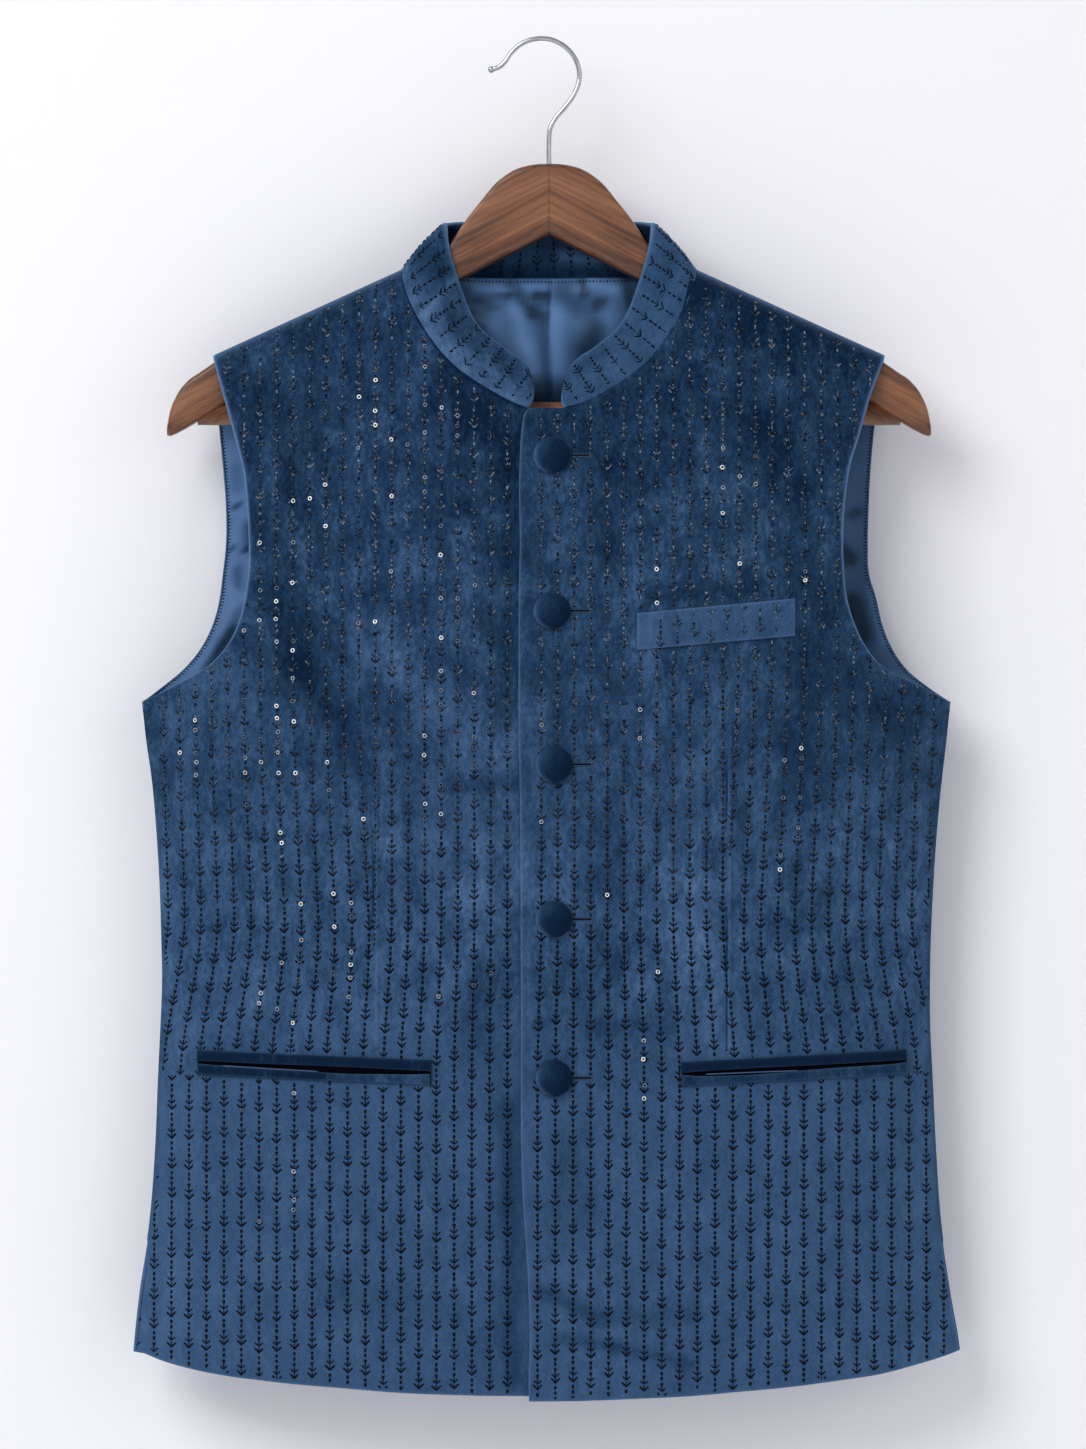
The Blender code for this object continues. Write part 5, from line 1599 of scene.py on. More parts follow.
def gape_of(name, across):
    """How wide a pocket's slit stands open along it, from 0 to 1."""
    centre = GAPE_SHARES.get(name.split("_")[2], 0.5)
    closed = smooth_step(np.minimum(across, 1.0 - across) / 0.08)
    return (0.25 + 0.75 * np.exp(-((across - centre) / GAPE_WIDTH) ** 2)) * closed


def build_welts():
    """Velvet welts, rolled at their edges, over near-black strips of painted shade that stand for the slits.
    """
    items = []
    for row in WELT_ROWS:
        name = row[0]
        height = under_y if row[1] < 0.0 else lapping_y
        rows_down = 8 if name == "chest_pocket_welt" else 6
        places, distance, down, across = strip_places(row, 60, rows_down)
        kind = name.split("_")[-1]
        near_slit = 1.0 - down if kind == "lower" else down
        places[..., 1] += GAPE[kind] * gape_of(name, across)[None, :] * near_slit[:, None]
        base = surface_points(height, places)
        normals = inward_normals(height, places, -1.0)
        inner = base - normals * WELT_LIFT
        plump = 0.35 * np.sin(np.pi * down)[:, None] if name != "chest_pocket_welt" else 0.0 * down[:, None]
        wave = 0.25 * lattice_noise(places[..., 0] + 300.0, places[..., 1], 12.0, 41)
        outer = base - normals * (WELT_LIFT + WELT_WALL + plump + wave)[..., None]
        outer, inner = rounded(outer, inner, distance)
        chest = name == "chest_pocket_welt"
        tone = np.full(distance.shape, WELT_TONES[kind])
        if name == "hip_pocket_right_lower":
            tone = tone - 0.36 + 0.46 * smooth_step((across - 0.45) / 0.25)[None, :]
        # Painted sheen along the welts' rolled edges, by the attribute rim.
        values = {
            "rim": painted_edge_value(distance) * {"welt": 0.36, "upper": 0.06, "lower": 0.16}[kind],
            "tone": tone,
            "cloud": np.full(distance.shape, 0.6 if chest else 1.3),
        }
        item = sheet_object("velvet_" + name, outer, inner, [VELVET], values, flip=True)
        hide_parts(name)
        items.append(item)
    for row in SLIT_ROWS:
        height = under_y if row[1] < 0.0 else lapping_y
        places, distance, down, across = strip_places(row, 50, 3)
        base = surface_points(height, places)
        normals = inward_normals(height, places, -1.0)
        outer = base - normals * (WELT_LIFT + 0.30)
        inner = base - normals * (WELT_LIFT - 0.15)
        item = sheet_object(row[0], outer, inner, [SLIT_SHADE], None, flip=True)
        items.append(item)
        build_pocket_ends(row, height)
    return items


def build_pocket_ends(row, height):
    """The stitched bars across both ends of a hip pocket, and a light-blue cord inside its slit, which is a
    painted highlight on the lip's edge.
    """
    name, left_u, left_top, left_low, right_u, right_top, right_low = row
    starts = []
    ends = []
    for end_u, top, low in ((left_u, left_top, left_low), (right_u, right_top, right_low)):
        for drop in np.arange(top - 5.0, low + 3.4, 1.9):
            starts.append((end_u, drop))
            ends.append((end_u, drop + 1.7))
    starts = np.array(starts)
    ends = np.array(ends)
    lifts = -inward_normals(height, (starts + ends) / 2.0, -1.0)
    over = lifts * (WELT_LIFT + 1.2)
    points, faces = strokes(surface_points(height, starts) + over, surface_points(height, ends) + over,
                            lifts, np.full(len(starts), 0.42))
    bars = mesh_object(name + "_bars", points, faces, [DARK_THREAD])
    share = np.linspace(0.10, 0.52, 30)
    line = np.stack([left_u + (right_u - left_u) * share,
                     left_top + (right_top - left_top) * share + 2.6 + 2.2 * share], axis=-1)
    over = -inward_normals(height, line, -1.0) * (WELT_LIFT + 1.75)
    points, faces = tube_along(surface_points(height, line) + over, 0.34, 6)
    edge = mesh_object(name + "_edge", points, faces, [LIP_HIGHLIGHT])


def build_buttons():
    """Velvet pulled over domes, each beside its stitched buttonhole."""
    sides = 40
    for name, u, drop in BUTTON_ROWS:
        panel_y = float(lapping_y(np.array(u), np.array(drop)))
        shank = BUTTON_LIFT + LAP_DEPTH - 0.4
        profile = ((0.35, BUTTON_CROWN),) + BUTTON_PROFILE + ((1.7, 0.0), (1.7, -shank), (0.3, -shank))
        vertices = []
        for radius, ahead in profile:
            for step in range(sides):
                angle = 2.0 * math.pi * step / sides
                pucker = 1.0
                if 0.2 < ahead < 3.0 and radius > 9.0:
                    pucker = 1.0 + 0.012 * math.sin(angle * 13.0 + u)
                x = u + radius * pucker * math.cos(angle)
                z = -drop + radius * pucker * math.sin(angle)
                vertices.append((x, panel_y - BUTTON_LIFT - ahead, z))
        faces = []
        for ring in range(len(profile) - 1):
            for step in range(sides):
                a = ring * sides + step
                b = ring * sides + (step + 1) % sides
                faces.append((a, a + sides, b + sides, b))
        # Painted light and shade on each button: a highlight crescent towards the lower left by the
        # attribute rim, and the tone lighter towards the upper left and darker towards the lower right.
        offsets = np.array(vertices) - (u, 0.0, -drop)
        reach = np.hypot(offsets[:, 0], offsets[:, 2]) / 11.0
        toward_left = (-0.92 * offsets[:, 0] - 0.38 * offsets[:, 2]) / 11.0
        toward_high_left = (-0.86 * offsets[:, 0] + 0.51 * offsets[:, 2]) / 11.0
        highlight_crescent = smooth_step((reach - 0.80) / 0.16) * smooth_step((toward_left - 0.30) / 0.6)
        values = {
            "rim": 0.32 * highlight_crescent,
            "tone": -0.36 + 0.30 * smooth_step(toward_high_left)
            - 0.26 * smooth_step(-toward_high_left),
            "cloud": np.full(len(vertices), 0.5),
        }
        item = mesh_object("velvet_" + name, vertices, faces, [VELVET], None, values)
        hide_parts(name)
        build_buttonhole(name, u, drop)


def build_buttonhole(name, u, drop):
    """A worked buttonhole: a near-black strip of painted shade for its slit, between two rows of close
    stitches, with a bar at its end.
    """
    starts = []
    ends = []
    lifts = []
    first = u + 9.0
    last = u + BUTTONHOLE_END
    for edge in (-1.0, 1.0):
        for x in np.arange(first, last, 0.62):
            place = np.array([x, drop + edge * 0.35])
            far = np.array([x, drop + edge * 1.25])
            starts.append(surface_points(lapping_y, place))
            ends.append(surface_points(lapping_y, far))
            lifts.append(-inward_normals(lapping_y, place, -1.0))
    for z in np.arange(-1.6, 1.61, 0.5):
        place = np.array([last - 0.4, drop + z])
        far = np.array([last + 0.9, drop + z])
        starts.append(surface_points(lapping_y, place))
        ends.append(surface_points(lapping_y, far))
        lifts.append(-inward_normals(lapping_y, place, -1.0))
    lifts = np.array(lifts)
    starts = np.array(starts) + lifts * 0.2
    ends = np.array(ends) + lifts * 0.2
    points, faces = strokes(starts, ends, lifts, np.full(len(starts), 0.36))
    item = mesh_object("stitches_" + name + "_hole", points, faces, [HOLE_THREAD])
    row = ("slit_" + name, first, drop - 0.28, drop + 0.28, last, drop - 0.28, drop + 0.28)
    places, distance, down, across = strip_places(row, 12, 2)
    base = surface_points(lapping_y, places)
    normals = inward_normals(lapping_y, places, -1.0)
    outer = base - normals * 0.22
    slit = sheet_object("slit_" + name, outer, base - normals * 0.05, [SLIT_SHADE], None, flip=True)


# Embroidery.

def column_u(number, drop):
    """u of an embroidered column at a drop, counted outwards from the front edge; always positive."""
    blend = smooth_step((drop - STEP_CHANGE[0]) / (STEP_CHANGE[1] - STEP_CHANGE[0]))
    return FIRST_COLUMN + number * (CHEST_STEP + (SKIRT_STEP - CHEST_STEP) * blend)


def dart_lean(u, drop):
    """How far a column outside a dart leans towards it, and whether the dart has swallowed it."""
    shift = np.zeros(np.broadcast(u, drop).shape)
    kept = np.ones(shift.shape, dtype=bool)
    for dart_u, drop_start, drop_end in DART_ROWS:
        outside = (np.sign(u) == np.sign(dart_u)) & (np.abs(u) > abs(dart_u))
        above = drop < drop_end + 14.0
        beyond = np.abs(u) - abs(dart_u)
        lean = 9.5 - 4.5 * np.clip(beyond / 125.0, 0.0, 1.0)
        lean = lean * smooth_step((drop - drop_start + 70.0) / 260.0)
        shift = shift - np.where(outside & above, np.sign(dart_u) * lean, 0.0)
        kept = kept & ~(outside & above & (beyond < lean + 1.3) & (drop > drop_start - 20.0))
    return shift, kept


def always_neat(drop):
    """Neatness of stitches that are the same all over."""
    return 1.0


def arrow_strokes(low, high, phase, jitter, neatness=always_neat):
    """One column's stitches about u = 0: a running line of beads and pairs of arrow heads."""
    starts = []
    ends = []
    sizes = []
    origin = low - MOTIF_STEP + phase
    while origin < high:
        rough = 1.0 - neatness(origin)
        stretch = 1.0 + jitter.uniform(-0.03, 0.03) + rough * jitter.uniform(-0.22, 0.12)
        for start, end, radius in MOTIF_STITCHES:
            start = origin + start * stretch + jitter.uniform(-0.15, 0.15)
            end = origin + end * stretch + jitter.uniform(-0.15, 0.15)
            lost = jitter.uniform() < 0.16 * rough
            wander = jitter.uniform(-0.15, 0.15) * (1.0 + rough)
            size = radius * jitter.uniform(0.86, 1.14) * (1.0 - 0.24 * rough)
            if start > low + 0.4 and end < high - 0.4 and not lost:
                starts.append((wander, start))
                ends.append((-wander, end))
                sizes.append(size)
        for half, height, tip in MOTIF_ARROWS:
            tip = origin + tip * stretch + jitter.uniform(-0.15, 0.15)
            lost = jitter.uniform() < 0.16 * rough
            if tip - height < low + 0.4 or tip > high - 0.4 or lost:
                continue
            for hand in (-1.0, 1.0):
                out = hand * half * jitter.uniform(0.88, 1.10)
                tall = height * jitter.uniform(0.88, 1.10)
                size = ARM_RADIUS * jitter.uniform(0.88, 1.08) * (1.0 - 0.10 * rough)
                if half < 2.5:
                    starts.append((out, tip - tall))
                    ends.append((-0.1 * hand, tip + 0.1))
                    sizes.append(size * 0.78)
                    continue
                bend = (out * 0.50, tip - tall * 0.54)
                starts += [(bend[0] * 0.92, bend[1] + 0.20), (bend[0] * 1.12, bend[1] - 0.32)]
                ends += [(out, tip - tall), (-0.05 * hand, tip + 0.35)]
                sizes += [size, size]
        origin += MOTIF_STEP * stretch
    return starts, ends, sizes


def inside_welt(u, drop):
    """Whether a place is covered by a pocket welt."""
    covered = np.zeros(u.shape, dtype=bool)
    for name, left_u, left_top, left_low, right_u, right_top, right_low in WELT_ROWS:
        share = (u - left_u) / (right_u - left_u)
        top = left_top + (right_top - left_top) * share
        low = left_low + (right_low - left_low) * share
        covered |= (share > -0.004) & (share < 1.004) & (drop > top - 1.0) & (drop < low + 1.2)
    return covered


def top_limit(u):
    """Drop of the panel's upper edge at each u, from its armhole, shoulder and neckline."""
    size = np.abs(u)
    shoulder = NECK_POINT[1] + (size - NECK_POINT[0]) * SHOULDER_FALL
    neck_u = column(COLLAR_FRONT_ROWS, COLLAR_COLUMNS, "seam_u")
    neck_drop = column(COLLAR_FRONT_ROWS, COLLAR_COLUMNS, "seam_drop")
    neck = np.interp(size, neck_u, neck_drop)
    limit = np.where(size < NECK_POINT[0], neck, shoulder)
    return np.where(size < 13.5, 221.0, limit)


def armhole_gap(u, drop, rows):
    """How far a place lies inside the armhole edge; negative outside it."""
    drops = column(rows, ARMHOLE_COLUMNS, "drop")
    left = np.interp(drop, drops, column(rows, ARMHOLE_COLUMNS, "left"))
    right = np.interp(drop, drops, column(rows, ARMHOLE_COLUMNS, "right"))
    width = np.where(u < 0.0, left, right)
    body = half_width(u, drop)
    width = np.where(drop > ARMPIT_DROP, body, width)
    return width - np.abs(u)


def hem_limit(u, hem):
    """Drop of the hem at each u."""
    hem = np.array(sorted(hem))
    return np.interp(u, hem[:, 0], hem[:, 1])


def neat_below_pockets(drop):
    """The stitches are ragged on the chest and neat on the skirt."""
    return float(0.35 + 0.65 * smooth_step((drop - 330.0) / 240.0))


def embroider_panel(name, height, facing, side, hem, arm_rows, low_u, high_u, seed):
    """All the stitches of one side of a panel as a single piece."""
    jitter = np.random.default_rng(seed)
    starts = []
    ends = []
    sizes = []
    numbers = []
    first = -3 if side > 0 else 0
    if facing > 0:
        first = -2
    for number in range(first, 24):
        found = arrow_strokes(110.0, 816.0, jitter.uniform(0, MOTIF_STEP), jitter, neat_below_pockets)
        starts += found[0]
        ends += found[1]
        sizes += found[2]
        numbers += [number] * len(found[0])
    starts = np.array(starts)
    ends = np.array(ends)
    sizes = np.array(sizes)
    numbers = np.array(numbers)
    middle_drop = (starts[:, 1] + ends[:, 1]) / 2.0
    base_u = side * column_u(numbers, middle_drop)
    kept = np.ones(len(starts), dtype=bool)
    if facing < 0:
        shift, kept = dart_lean(base_u, middle_drop)
        base_u = base_u + shift
    starts[:, 0] += base_u
    ends[:, 0] += base_u
    middle_u = (starts[:, 0] + ends[:, 0]) / 2.0
    top_drop = np.minimum(starts[:, 1], ends[:, 1])
    low_drop = np.maximum(starts[:, 1], ends[:, 1])
    if facing < 0:
        limit = top_limit(middle_u)
    else:
        slope = NECK_POINT[1] + (np.abs(middle_u) - NECK_POINT[0]) * SHOULDER_FALL
        limit = np.where(np.abs(middle_u) < NECK_POINT[0], 143.0, slope)
    kept &= top_drop > limit + 2.0
    kept &= low_drop < hem_limit(middle_u, hem) - 1.2
    kept &= armhole_gap(middle_u, middle_drop, arm_rows) > 2.6
    kept &= (middle_u > low_u) & (middle_u < high_u)
    if facing < 0:
        kept &= ~inside_welt(middle_u, middle_drop)
        for _, button_u, button_drop in BUTTON_ROWS:
            near_button = np.hypot(middle_u - button_u, middle_drop - button_drop) < 8.8
            on_hole = (middle_u > button_u) & (middle_u < button_u + BUTTONHOLE_END + 1.0)
            on_hole &= np.abs(middle_drop - button_drop) < 2.2
            kept &= ~(near_button | on_hole)
    starts = starts[kept]
    ends = ends[kept]
    sizes = sizes[kept]
    lifts = -inward_normals(height, (starts + ends) / 2.0, facing, 0.8)
    start_points = surface_points(height, starts) + lifts * THREAD_LIFT
    end_points = surface_points(height, ends) + lifts * THREAD_LIFT
    points, faces = strokes(start_points, end_points, lifts, sizes)
    item = mesh_object(name, points, faces, [THREAD])
    return item


def embroider_strip(name, row, height):
    """The stitches on the chest welt."""
    jitter = np.random.default_rng(SEED + 5)
    starts = []
    ends = []
    sizes = []
    for middle_u in np.arange(row[1] + 14.0, row[4] - 3.0, CHEST_STEP):
        share = (middle_u - row[1]) / (row[4] - row[1])
        low = row[2] + (row[5] - row[2]) * share + 0.2
        high = row[3] + (row[6] - row[3]) * share - 0.2
        found = arrow_strokes(low, high, jitter.uniform(0, MOTIF_STEP), jitter, ragged)
        starts += [(u + middle_u, drop) for u, drop in found[0]]
        ends += [(u + middle_u, drop) for u, drop in found[1]]
        sizes += found[2]
    starts = np.array(starts)
    ends = np.array(ends)
    lifts = -inward_normals(height, (starts + ends) / 2.0, -1.0, 0.8)
    raise_by = WELT_LIFT + WELT_WALL + 0.2 + THREAD_LIFT
    points, faces = strokes(surface_points(height, starts) + lifts * raise_by,
                            surface_points(height, ends) + lifts * raise_by, lifts, np.array(sizes) * 0.62)
    item = mesh_object(name, points, faces, [THREAD])
    return item


def grid_point(grid, row, col):
    """A point between the points of a grid."""
    rows, columns = grid.shape[:2]
    row = np.clip(row, 0.0, rows - 1.001)
    col = np.clip(col, 0.0, columns - 1.001)
    r = np.floor(row).astype(int)
    c = np.floor(col).astype(int)
    fr = (row - r)[..., None]
    fc = (col - c)[..., None]
    low = grid[r, c] * (1 - fc) + grid[r, c + 1] * fc
    high = grid[r + 1, c] * (1 - fc) + grid[r + 1, c + 1] * fc
    return low * (1 - fr) + high * fr


def ragged(drop):
    """Neatness of the collar's stitches."""
    return 0.35


def embroider_collar(outer, inner):
    """Columns of stitches across the band, outside and inside."""
    jitter = np.random.default_rng(SEED + 9)
    rise = np.linalg.norm(outer[-1] - outer[0], axis=-1)
    middle = outer[len(COLLAR_RISE_SHARES) // 2]
    run = np.concatenate([[0.0], np.cumsum(np.linalg.norm(np.diff(middle, axis=0), axis=1))])
    rise_shares = np.array(COLLAR_RISE_SHARES)
    starts = []
    ends = []
    lifts = []
    sizes = []
    for face, sign in ((outer, 1.0), (inner, -1.0)):
        for position in np.arange(7.0, run[-1] - 4.0, 9.8):
            col = float(np.interp(position, run, np.arange(len(run))))
            band = float(np.interp(col, np.arange(len(rise)), rise))
            per_mm = (np.interp(position + 0.5, run, np.arange(len(run)))
                      - np.interp(position - 0.5, run, np.arange(len(run))))
            found = arrow_strokes(1.2, band - 1.6, jitter.uniform(0, MOTIF_STEP), jitter, ragged)
            start = np.array(found[0])
            end = np.array(found[1])
            from_end = min(position, run[-1] - position)
            lean = COLLAR_LEAN * float(1.0 - smooth_step(from_end / COLLAR_LEAN_REACH))
            lean = lean if position > run[-1] / 2.0 else -lean
            start[:, 0] += lean * (1.0 - start[:, 1] / band)
            end[:, 0] += lean * (1.0 - end[:, 1] / band)
            reached = position + start[:, 0]
            inside = (reached > 2.4) & (reached < run[-1] - 2.4)
            start = start[inside]
            end = end[inside]
            if not len(start):
                continue
            # On the band the columns run from its top edge down to the seam.
            start_row = np.interp(1.0 - start[:, 1] / band, rise_shares, np.arange(len(rise_shares)))
            end_row = np.interp(1.0 - end[:, 1] / band, rise_shares, np.arange(len(rise_shares)))
            a = grid_point(face, start_row, col + start[:, 0] * per_mm)
            b = grid_point(face, end_row, col + end[:, 0] * per_mm)
            here = grid_point(outer, (start_row + end_row) / 2, np.full(len(start), col))
            there = grid_point(inner, (start_row + end_row) / 2, np.full(len(start), col))
            up = unit(here - there) * sign
            starts.append(a + up * THREAD_LIFT)
            ends.append(b + up * THREAD_LIFT)
            lifts.append(up)
            sizes.append(np.array(found[2])[inside] * 0.80)
    points, faces = strokes(np.concatenate(starts), np.concatenate(ends), np.concatenate(lifts),
                            np.concatenate(sizes))
    item = mesh_object("stitches_collar", points, faces, [DARK_THREAD])
    return item


def build_seam_stitches():
    """Short stitches where the satin is sewn down, along the neck and round the armholes."""
    jitter = np.random.default_rng(SEED + 30)
    neck_u = np.arange(-78.0, 78.1, 2.1)
    table_u = column(COLLAR_BACK_ROWS, COLLAR_COLUMNS, "seam_u")[::-1]
    table_drop = column(COLLAR_BACK_ROWS, COLLAR_COLUMNS, "seam_drop")[::-1]
    neck = np.stack([neck_u, np.interp(np.abs(neck_u), table_u, table_drop) + 1.5], axis=-1)
    runs = [(neck, np.array([0.25, 1.0]))]
    for side in (-1, 1):
        edge = smooth_run(armhole_run(BACK_ARMHOLE_ROWS, side), np.linspace(0.04, 0.97, 105))
        runs.append((edge - (side * 1.7, 0.0), np.array([side * 1.0, 0.35])))
    starts = []
    ends = []
    for places, direction in runs:
        reach = jitter.uniform(0.45, 0.95, len(places))[:, None] * direction
        starts.append(places - reach)
        ends.append(places + reach)
    starts = np.concatenate(starts)
    ends = np.concatenate(ends)
    lifts = inward_normals(back_y, (starts + ends) / 2.0, 1.0)
    middles = (starts + ends) / 2.0
    over = lifts * (lining_lift(middles[:, 0], middles[:, 1]) + LINING_WALL + 0.1)[:, None]
    points, faces = strokes(surface_points(back_y, starts) + over, surface_points(back_y, ends) + over,
                            lifts, np.full(len(starts), 0.38))
    item = mesh_object("stitches_lining", points, faces, [DARK_THREAD])
    return item


def sequin_places(rows, side, seed):
    """Scattered places on the columns by region, some in short runs down one column."""
    jitter = np.random.default_rng(seed)
    places = []
    for low_u, high_u, low_drop, high_drop, count in rows:
        made = 0
        while made < count:
            drop = jitter.uniform(low_drop, high_drop)
            numbers = [n for n in range(-4, 24) if low_u < side * column_u(n, drop) < high_u]
            number = int(jitter.choice(numbers)) if numbers else 0
            run = int(jitter.integers(2, 4)) if jitter.uniform() < 0.25 else 1
            for _ in range(run):
                places.append((side * column_u(number, drop) + jitter.uniform(-0.4, 0.4), drop))
                drop += float(jitter.choice((5.6, 8.2, 12.0, 17.0)) + jitter.uniform(-0.6, 0.6))
                made += 1
    places = np.array(places)
    apart = np.linalg.norm(places[:, None] - places[None], axis=-1)
    apart = apart + 99.0 * np.triu(np.ones(apart.shape))
    return places[apart.min(axis=1) > SEQUIN_SPACE]


def build_sequins(name, height, places, arm_rows, hem, seed):
    """Ring sequins sewn over the stitches of a front."""
    jitter = np.random.default_rng(seed)
    shift, kept = dart_lean(places[:, 0], places[:, 1])
    places = places + np.stack([shift, 0.0 * shift], axis=-1)
    kept &= ~inside_welt(places[:, 0], places[:, 1])
    kept &= armhole_gap(places[:, 0], places[:, 1], arm_rows) > 5.0
    kept &= places[:, 1] > top_limit(places[:, 0]) + 5.0
    kept &= places[:, 1] < hem_limit(places[:, 0], hem) - 4.0
    for _, button_u, button_drop in BUTTON_ROWS:
        kept &= np.hypot(places[:, 0] - button_u, places[:, 1] - button_drop) > 13.0
    places = places[kept]
    normals = -inward_normals(height, places, -1.0, 0.8)
    tilt = jitter.normal(0.0, 0.20, normals.shape)
    centres = surface_points(height, places) + normals * 0.75
    points, faces = rings(centres, normals + tilt, SEQUIN_RADIUS, SEQUIN_WIRE, 12, 4)
    # Painted glints: a random brightness for each ring.
    painted_sequin_glint = np.repeat(jitter.uniform(0.0, 1.0, len(centres)) ** 1.15, 48)
    item = mesh_object(name, points, faces, [SEQUIN], None, {"painted_sequin_glint": painted_sequin_glint * 0.9})
    return item


# The hanger.

def build_hanger():
    """Fine wooden arms with rounded corners, the bar and the wire hook."""
    table = {name: column(HANGER_ROWS, HANGER_COLUMNS, name) for name in HANGER_COLUMNS}
    half = np.concatenate([np.linspace(0.0, 64.0, 60), np.linspace(66.0, 200.0, 50),
                           np.linspace(201.0, 229.0, 40)])
    angles = np.radians(np.linspace(0.0, 90.0, 7))
    rings_points = []
    for u in np.concatenate([-half[::-1], half[1:]]):
        size = abs(u)
        # The lower edge meets in a sharp point at the middle, so it follows straight lines there.
        top = float(hermite(table["u"], table["top"], size))
        low = float(np.interp(size, table["u"], table["bottom"]))
        thick = float(np.interp(size, table["u"], table["half_thick"]))
        forward = float(np.interp(size, table["u"], table["forward"]))
        radius = min(3.2, thick * 0.8, (low - top) * 0.45)
        ring = []
        for index, (toward_back, downward) in enumerate(((-1, -1), (1, -1), (1, 1), (-1, 1))):
            centre_y = -forward + toward_back * (thick - radius)
            centre_z = -top - radius if downward < 0 else -low + radius
            for angle in angles:
                turn = math.pi - math.pi / 2.0 * index - angle
                ring.append((u, centre_y + radius * math.cos(turn), centre_z + radius * math.sin(turn)))
        rings_points.append(ring)
    grid = np.array(rings_points)
    count, size = grid.shape[:2]
    caps = []
    for end in (0, -1):
        middle = grid[end].mean(axis=0)
        caps.append(np.repeat((middle + (grid[end] - middle) * 0.05)[None], 1, axis=0))
    grid = np.concatenate([caps[0], grid, caps[1]])
    count += 2
    faces = []
    for ring in range(count - 1):
        for step in range(size):
            a = ring * size + step
            b = ring * size + (step + 1) % size
            faces.append((a, a + size, b + size, b))
    arms = mesh_object("wooden_arms", grid.reshape(-1, 3), faces, [WOOD])
    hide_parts("hanger_body")

    reach = BAR_HALF_LENGTH
    line = [(-reach, BAR_Y, -BAR_DROP), (-reach + 0.4, BAR_Y, -BAR_DROP), (-reach / 2, BAR_Y, -BAR_DROP),
            (0.0, BAR_Y, -BAR_DROP), (reach / 2, BAR_Y, -BAR_DROP), (reach - 0.4, BAR_Y, -BAR_DROP),
            (reach, BAR_Y, -BAR_DROP)]
    points, faces = tube_along(line, BAR_RADIUS, 28)
    bar = mesh_object("wooden_bar", points, faces, [WOOD])
    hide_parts("hanger_bar")

    rows = np.array([(x - CENTRE_X, 0.0, -drop) for x, drop in HOOK_ROWS])
    smooth = smooth_run(rows, np.linspace(0.0, 1.0, 120))
    points, faces = tube_along(smooth, HOOK_RADIUS, 16)
    wire = mesh_object("wire_hook", points, faces, [STEEL])
    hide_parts("hanger_hook")
    x, drop, radius = HOOK_BALL
    angles = np.linspace(0.02, math.pi - 0.02, 13)
    ball_line = [(x - CENTRE_X - radius * math.cos(a), 0.0, -drop) for a in angles]
    points, faces = tube_along(ball_line, radius * np.sin(angles) / 1.0, 16)
    ball = mesh_object("hook_ball", points, faces, [STEEL])


# Camera, lights and setting.

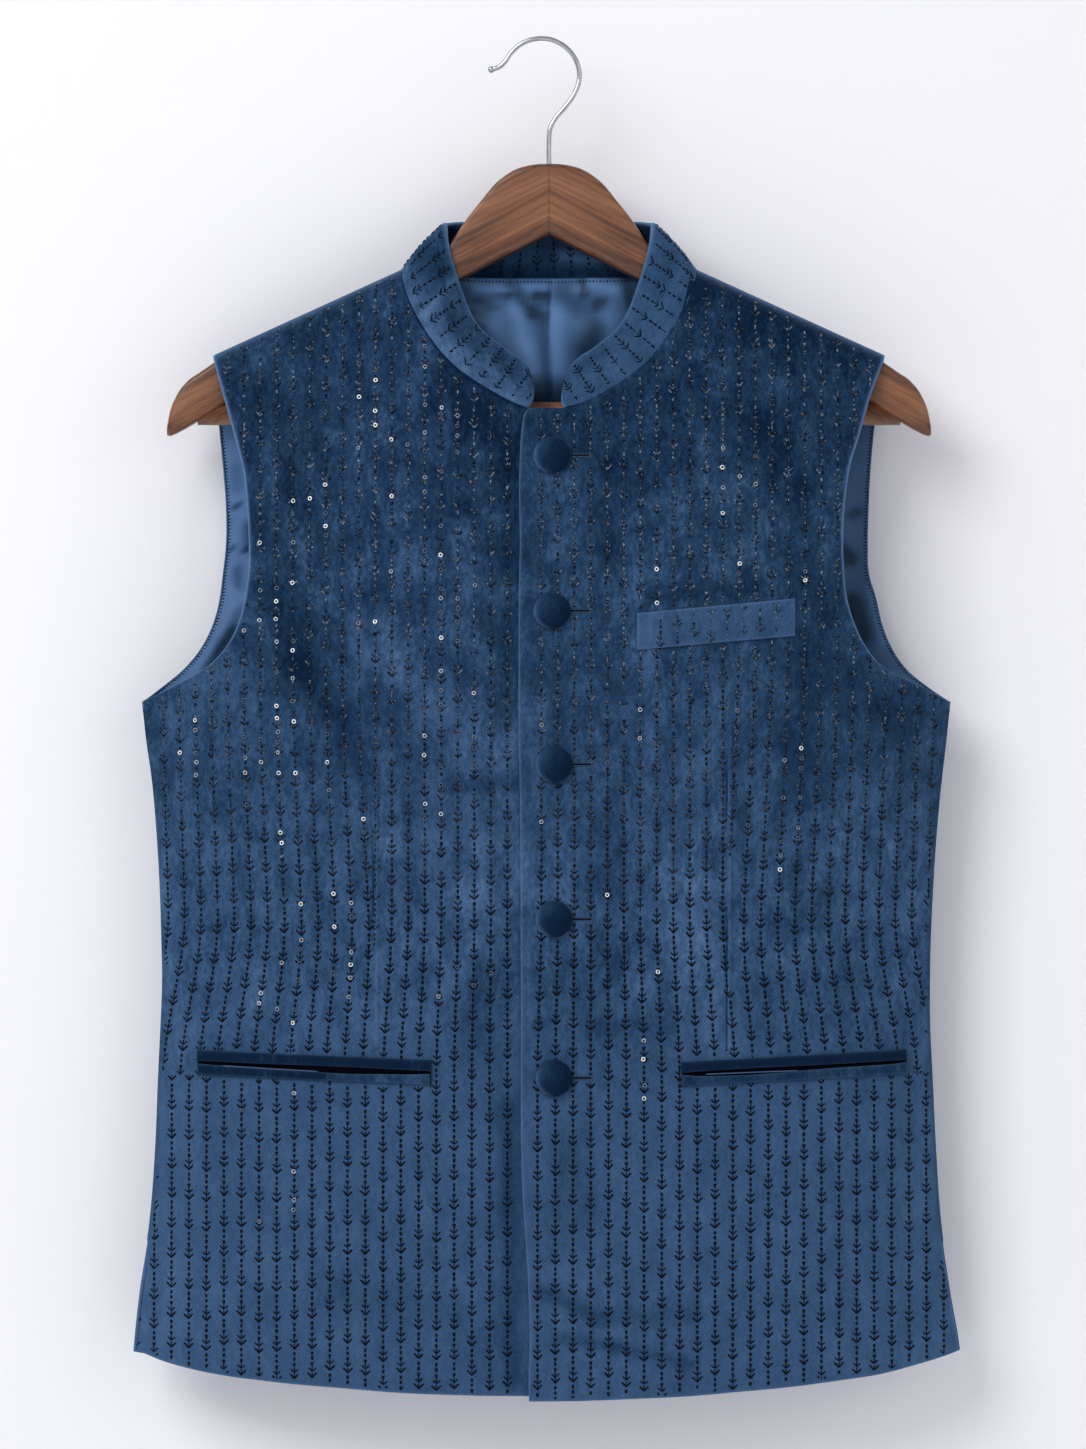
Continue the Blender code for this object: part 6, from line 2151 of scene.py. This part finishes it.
def build_stage():
    """A level camera, soft light from the upper left, a pale wall behind and a floor below."""
    camera_data = bpy.data.cameras.new("camera")
    camera_data.sensor_fit = "HORIZONTAL"
    camera_data.sensor_width = SENSOR
    camera_data.lens = SENSOR * CAMERA_DISTANCE / FRAME_WIDTH
    camera_data.clip_end = 50.0
    camera = bpy.data.objects.new("camera", camera_data)
    camera.location = (CAMERA_X, -CAMERA_DISTANCE, CAMERA_Z)
    camera.rotation_euler = (math.radians(90.0), 0.0, 0.0)
    bpy.context.scene.collection.objects.link(camera)
    bpy.context.scene.camera = camera

    bpy.context.scene.view_settings.view_transform = "Standard"

    paint = Nodes("wall_paint")
    paint.shader.inputs["Base Color"].default_value = (0.838, 0.838, 0.868, 1.0)
    paint.shader.inputs["Roughness"].default_value = 0.95
    see_through = paint.add("ShaderNodeBsdfTransparent")
    choose = paint.add("ShaderNodeMixShader")
    # The wall doesn't show from behind, and it lets the light from behind reach the jacket's back.
    unseen = paint.maths("MAXIMUM", paint.add("ShaderNodeNewGeometry").outputs["Backfacing"],
                         paint.add("ShaderNodeLightPath").outputs["Is Shadow Ray"])
    paint.link(unseen, choose.inputs["Fac"])
    paint.link(paint.shader.outputs["BSDF"], choose.inputs[1])
    paint.link(see_through.outputs["BSDF"], choose.inputs[2])
    paint.link(choose.outputs["Shader"], paint.tree.nodes["Material Output"].inputs["Surface"])
    for name, corners in (
        ("wall", ((-3.0, 0.047, -1.2), (3.0, 0.047, -1.2), (3.0, 0.047, 1.6), (-3.0, 0.047, 1.6))),
        ("floor", ((-4.0, -7.0, -1.25), (4.0, -7.0, -1.25), (4.0, 4.0, -1.25), (-4.0, 4.0, -1.25))),
    ):
        mesh = bpy.data.meshes.new(name)
        mesh.from_pydata(corners, [], [(0, 1, 2, 3)])
        mesh.materials.append(paint.material)
        item = bpy.data.objects.new(name, mesh)
        bpy.context.scene.collection.objects.link(item)

    lights = (
        ("key", (-1.65, -2.4, 1.5), (1.9, 1.9), 78.0, (0.0, 0.0, -0.35)),
        ("fill", (2.6, -2.8, 0.2), (2.4, 2.4), 20.0, (0.0, 0.0, -0.5)),
        ("front", (0.0, -3.6, -0.2), (2.6, 2.6), 9.0, (0.0, 0.0, -0.45)),
        ("back", (0.6, 3.0, 1.2), (2.4, 2.4), 52.0, (0.0, 0.0, -0.45)),
    )
    for name, place, size, power, target in lights:
        data = bpy.data.lights.new(name, "AREA")
        data.shape = "RECTANGLE"
        data.size = size[0]
        data.size_y = size[1]
        data.energy = power
        light = bpy.data.objects.new(name, data)
        light.location = place
        away = Vector(target) - Vector(place)
        light.rotation_euler = away.to_track_quat("-Z", "Y").to_euler()
        bpy.context.scene.collection.objects.link(light)
    world = bpy.data.worlds.new("soft_room")
    world.use_nodes = True
    world.node_tree.nodes["Background"].inputs["Color"].default_value = (0.93, 0.94, 0.97, 1.0)
    world.node_tree.nodes["Background"].inputs["Strength"].default_value = 0.39
    bpy.context.scene.world = world


build_stage()
front_right = build_front(-1, "velvet_front_right")
front_left = build_front(1, "velvet_front_left")
back = build_back()
lining = build_lining()
collar, collar_outer, collar_inner = build_collar()
build_darts()
welts = build_welts()
build_buttons()
build_hanger()

embroider_panel("stitches_front_left", lapping_y, -1.0, 1, LAP_HEM, FRONT_ARMHOLE_ROWS, -13.6, 252.0, 21)
embroider_panel("stitches_front_right", under_y, -1.0, -1, UNDER_HEM, FRONT_ARMHOLE_ROWS, -252.0, -20.5, 22)
embroider_panel("stitches_back_left", back_y, 1.0, 1, BACK_HEM, BACK_ARMHOLE_ROWS, 0.0, 252.0, 23)
embroider_panel("stitches_back_right", back_y, 1.0, -1, BACK_HEM, BACK_ARMHOLE_ROWS, -252.0, -2.0, 24)
embroider_strip("stitches_chest_welt", WELT_ROWS[0], lapping_y)
embroider_collar(collar_outer, collar_inner)
build_seam_stitches()
build_sequins("sequins_front_right", under_y, sequin_places(SEQUIN_RIGHT_ROWS, -1, 101),
              FRONT_ARMHOLE_ROWS, UNDER_HEM, 103)
build_sequins("sequins_front_left", lapping_y, sequin_places(SEQUIN_LEFT_ROWS, 1, 102),
              FRONT_ARMHOLE_ROWS, LAP_HEM, 104)
